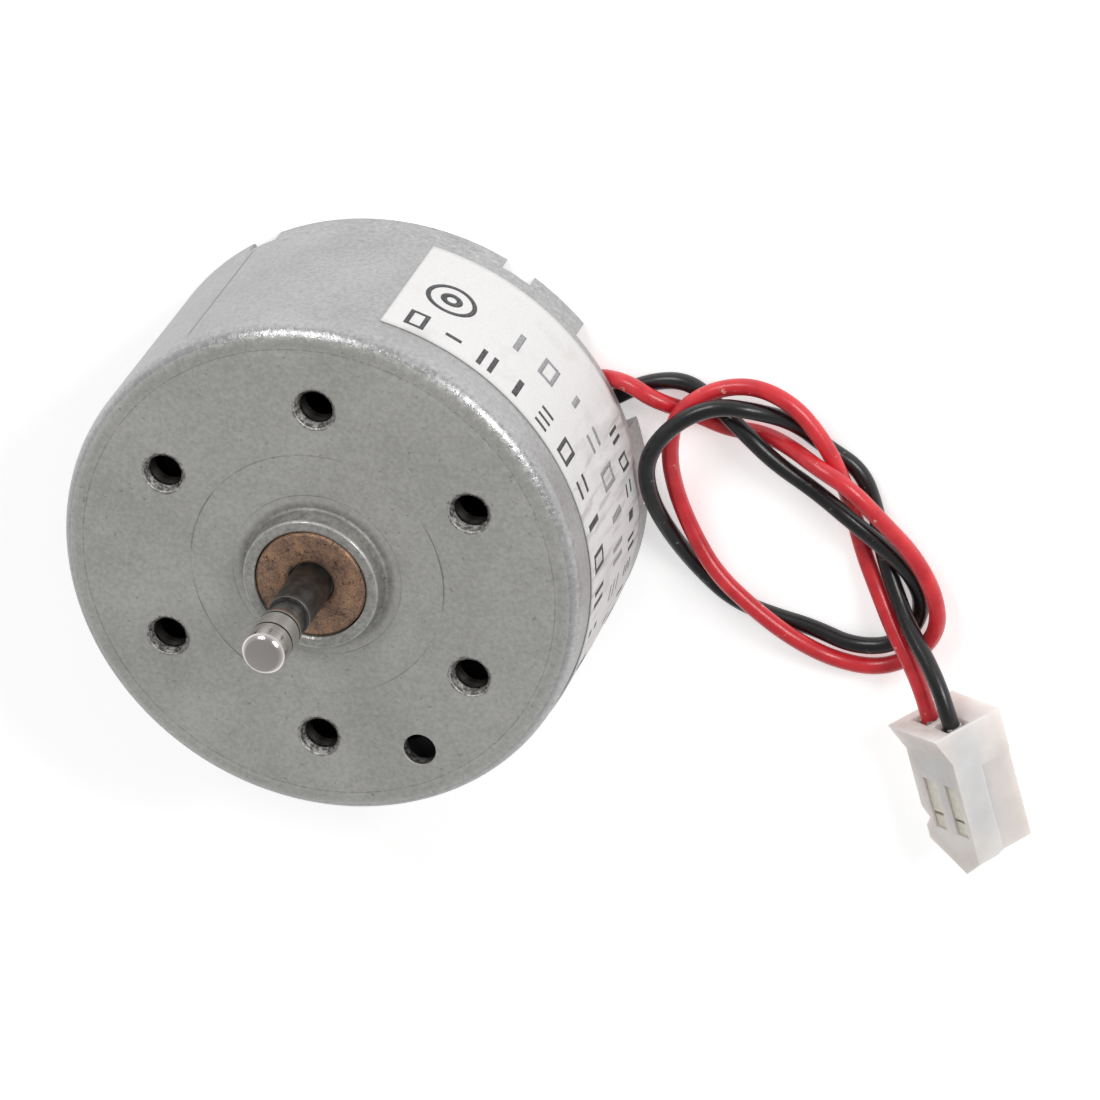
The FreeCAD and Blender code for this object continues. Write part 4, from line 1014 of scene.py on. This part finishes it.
def make_contact(name, middle, material, stood_for):
    """A crimped contact: wings round the insulation, a wire barrel and a square sleeve with a latch slot."""
    bm = bmesh.new()
    open_tube(bm, middle, *WINGS, LEAD_DIAMETER / 2 + CONTACT_SHEET, 60)
    open_tube(bm, middle, *BARREL, LEAD_DIAMETER / 2, 30)
    half = SLEEVE_HALF
    rows = []
    for along in SLEEVE:
        rows.append([bm.verts.new(Vector((middle + x, along, z)) * MM)
                     for x, z in ((-half, half), (-half, -half), (half, -half), (half, half))])
    for k in range(4):
        bm.faces.new((rows[0][k], rows[1][k], rows[1][(k + 1) % 4], rows[0][(k + 1) % 4]))
    bmesh.ops.recalc_face_normals(bm, faces=bm.faces)
    contact = from_bmesh(name, bm)
    sheet = contact.modifiers.new("sheet", "SOLIDIFY")
    sheet.thickness = CONTACT_SHEET * MM
    sheet.offset = -1
    apply_stack(contact)
    bm = bmesh.new()
    bm.from_mesh(contact.data)
    box_mesh(bm, (middle - 0.45, 1.2, -0.74), (middle + 0.45, 4.2, -0.66))
    box_mesh(bm, (middle - 0.72, 4.34, 0.7), (middle + 0.72, 7.0, 1.2))
    box_mesh(bm, (middle - 0.72, 7.25, 0.7), (middle + 0.72, 8.26, 1.15))
    bm.to_mesh(contact.data)
    bm.free()
    contact.data.transform(CONNECTOR_PLACE)
    soften(contact, 0.03, 1)
    return present(contact, "stator", "tinned_contact", material, stood_for)


# ---------------------------------------------------------------- carried-over nodes

def dress_nodes(bronze):
    """Give each node that stays as it is its own material."""
    ferrite = metal("ferrite", (0.03, 0.03, 0.032), (0.06, 0.06, 0.063), (0.55, 0.75), metallic=0.2)
    spring = metal("spring_steel", (0.16, 0.18, 0.22), (0.28, 0.3, 0.34), (0.25, 0.4))
    plate = metal("plate_steel", (0.4, 0.4, 0.4), (0.55, 0.55, 0.54), (0.35, 0.5), 0.3, 5.0)
    cap = moulded("cap_plastic", (0.012, 0.012, 0.013), (0.022, 0.022, 0.024))
    nylon = moulded("natural_nylon", (0.70, 0.68, 0.6), (0.8, 0.78, 0.72), Subsurface_Weight=0.2,
                    Subsurface_Scale=0.5 * MM)
    brass = metal("brass_strip", (0.5, 0.33, 0.11), (0.7, 0.5, 0.2), (0.25, 0.4))
    board = moulded("fibre_board", (0.22, 0.12, 0.045), (0.33, 0.19, 0.08), (0.6, 0.8), 0.3, 0.01)
    solder = metal("tin_solder", (0.5, 0.5, 0.52), (0.72, 0.72, 0.74), (0.18, 0.36), 0.35, 1.2, 0.02)
    carbon = moulded("brush_carbon", (0.012, 0.011, 0.01), (0.035, 0.03, 0.026), (0.5, 0.7), 0.1, 0.006)
    leaf = metal("spring_bronze", (0.42, 0.22, 0.09), (0.58, 0.33, 0.15), (0.25, 0.4))
    # The insulators are near black so that the screw holes show dark: painted shade.
    dark = moulded("insulator_plastic", (0.012, 0.009, 0.007), (0.025, 0.018, 0.014))
    brown = moulded("phenolic", (0.045, 0.02, 0.012), (0.08, 0.038, 0.02))
    copper = metal("commutator_copper", (0.5, 0.2, 0.1), (0.7, 0.33, 0.18), (0.2, 0.35))
    ceramic = moulded("varistor_ceramic", (0.03, 0.03, 0.035), (0.055, 0.055, 0.06), (0.55, 0.75), 0.12,
                      0.008)
    laminated = laminated_steel()
    wound = wound_copper()
    looks = (
        (ferrite, "magnet_north magnet_south"), (spring, "magnet_clip_1 magnet_clip_2"),
        (plate, "rear_plate"), (cap, "end_cap"), (nylon, "thrust_disc front_spacer rear_spacer core_spacer"),
        (bronze, "rear_bush"), (brass, "terminal_red terminal_black"), (board, "terminal_board"),
        (solder, "solder_red solder_black"), (carbon, "brush_1 brush_2"), (leaf, "brush_arm_1 brush_arm_2"),
        (laminated, "rotor_core"), (dark, "insulator_rear insulator_front"), (wound, "coil_1 coil_2 coil_3"),
        (brown, "commutator_hub"), (ceramic, "varistor_ring"),
        (copper, "commutator_segment_1 commutator_segment_2 commutator_segment_3"),
    )
    for material, names in looks:
        for name in names.split():
            node = nodes[name]
            if node.material_slots:
                node.material_slots[0].material = material
            else:
                node.data.materials.append(material)


# ---------------------------------------------------------------- build

set_camera()
light_studio()
lay_floor()

red_skin = pvc("red_pvc", (0.5, 0.015, 0.024), (0.69, 0.032, 0.042), (0.78, 0.5, 0.4), 0.26)
black_skin = pvc("black_pvc", (0.003, 0.003, 0.0035), (0.008, 0.008, 0.0085), (0.3, 0.3, 0.29), 0.26)
red = make_lead("red_wire", RED_ROUTE, red_skin)
black = make_lead("black_wire", BLACK_ROUTE, black_skin)
tinned = tinned_contact()
housing = make_housing(ivory_nylon())
red_contact = make_contact("crimp_contact_red", PITCH / 2, tinned, "contact_red")
black_contact = make_contact("crimp_contact_black", -PITCH / 2, tinned, "contact_black")
for lead, slot, route, length, node, others in (
        (red, "red_pvc", RED_ROUTE, RED_LENGTH, "red_lead", [housing, red_contact]),
        (black, "black_pvc", BLACK_ROUTE, BLACK_LENGTH, "black_lead", [black_contact])):
    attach(lead, "stator")
    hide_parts(node)

steel = can_steel()
make_can(steel)
make_tapped_collars(steel)
make_crimp_lugs(steel)
bronze = sintered_bronze()
dress_nodes(bronze)
make_bush(bronze)
make_shaft(shaft_steel())
make_label(label_paper())
make_print(print_ink("dark_ink", (0.02, 0.02, 0.022), (0.12, 0.12, 0.125)),
           print_ink("pale_ink", (0.22, 0.22, 0.23), (0.42, 0.42, 0.43)))
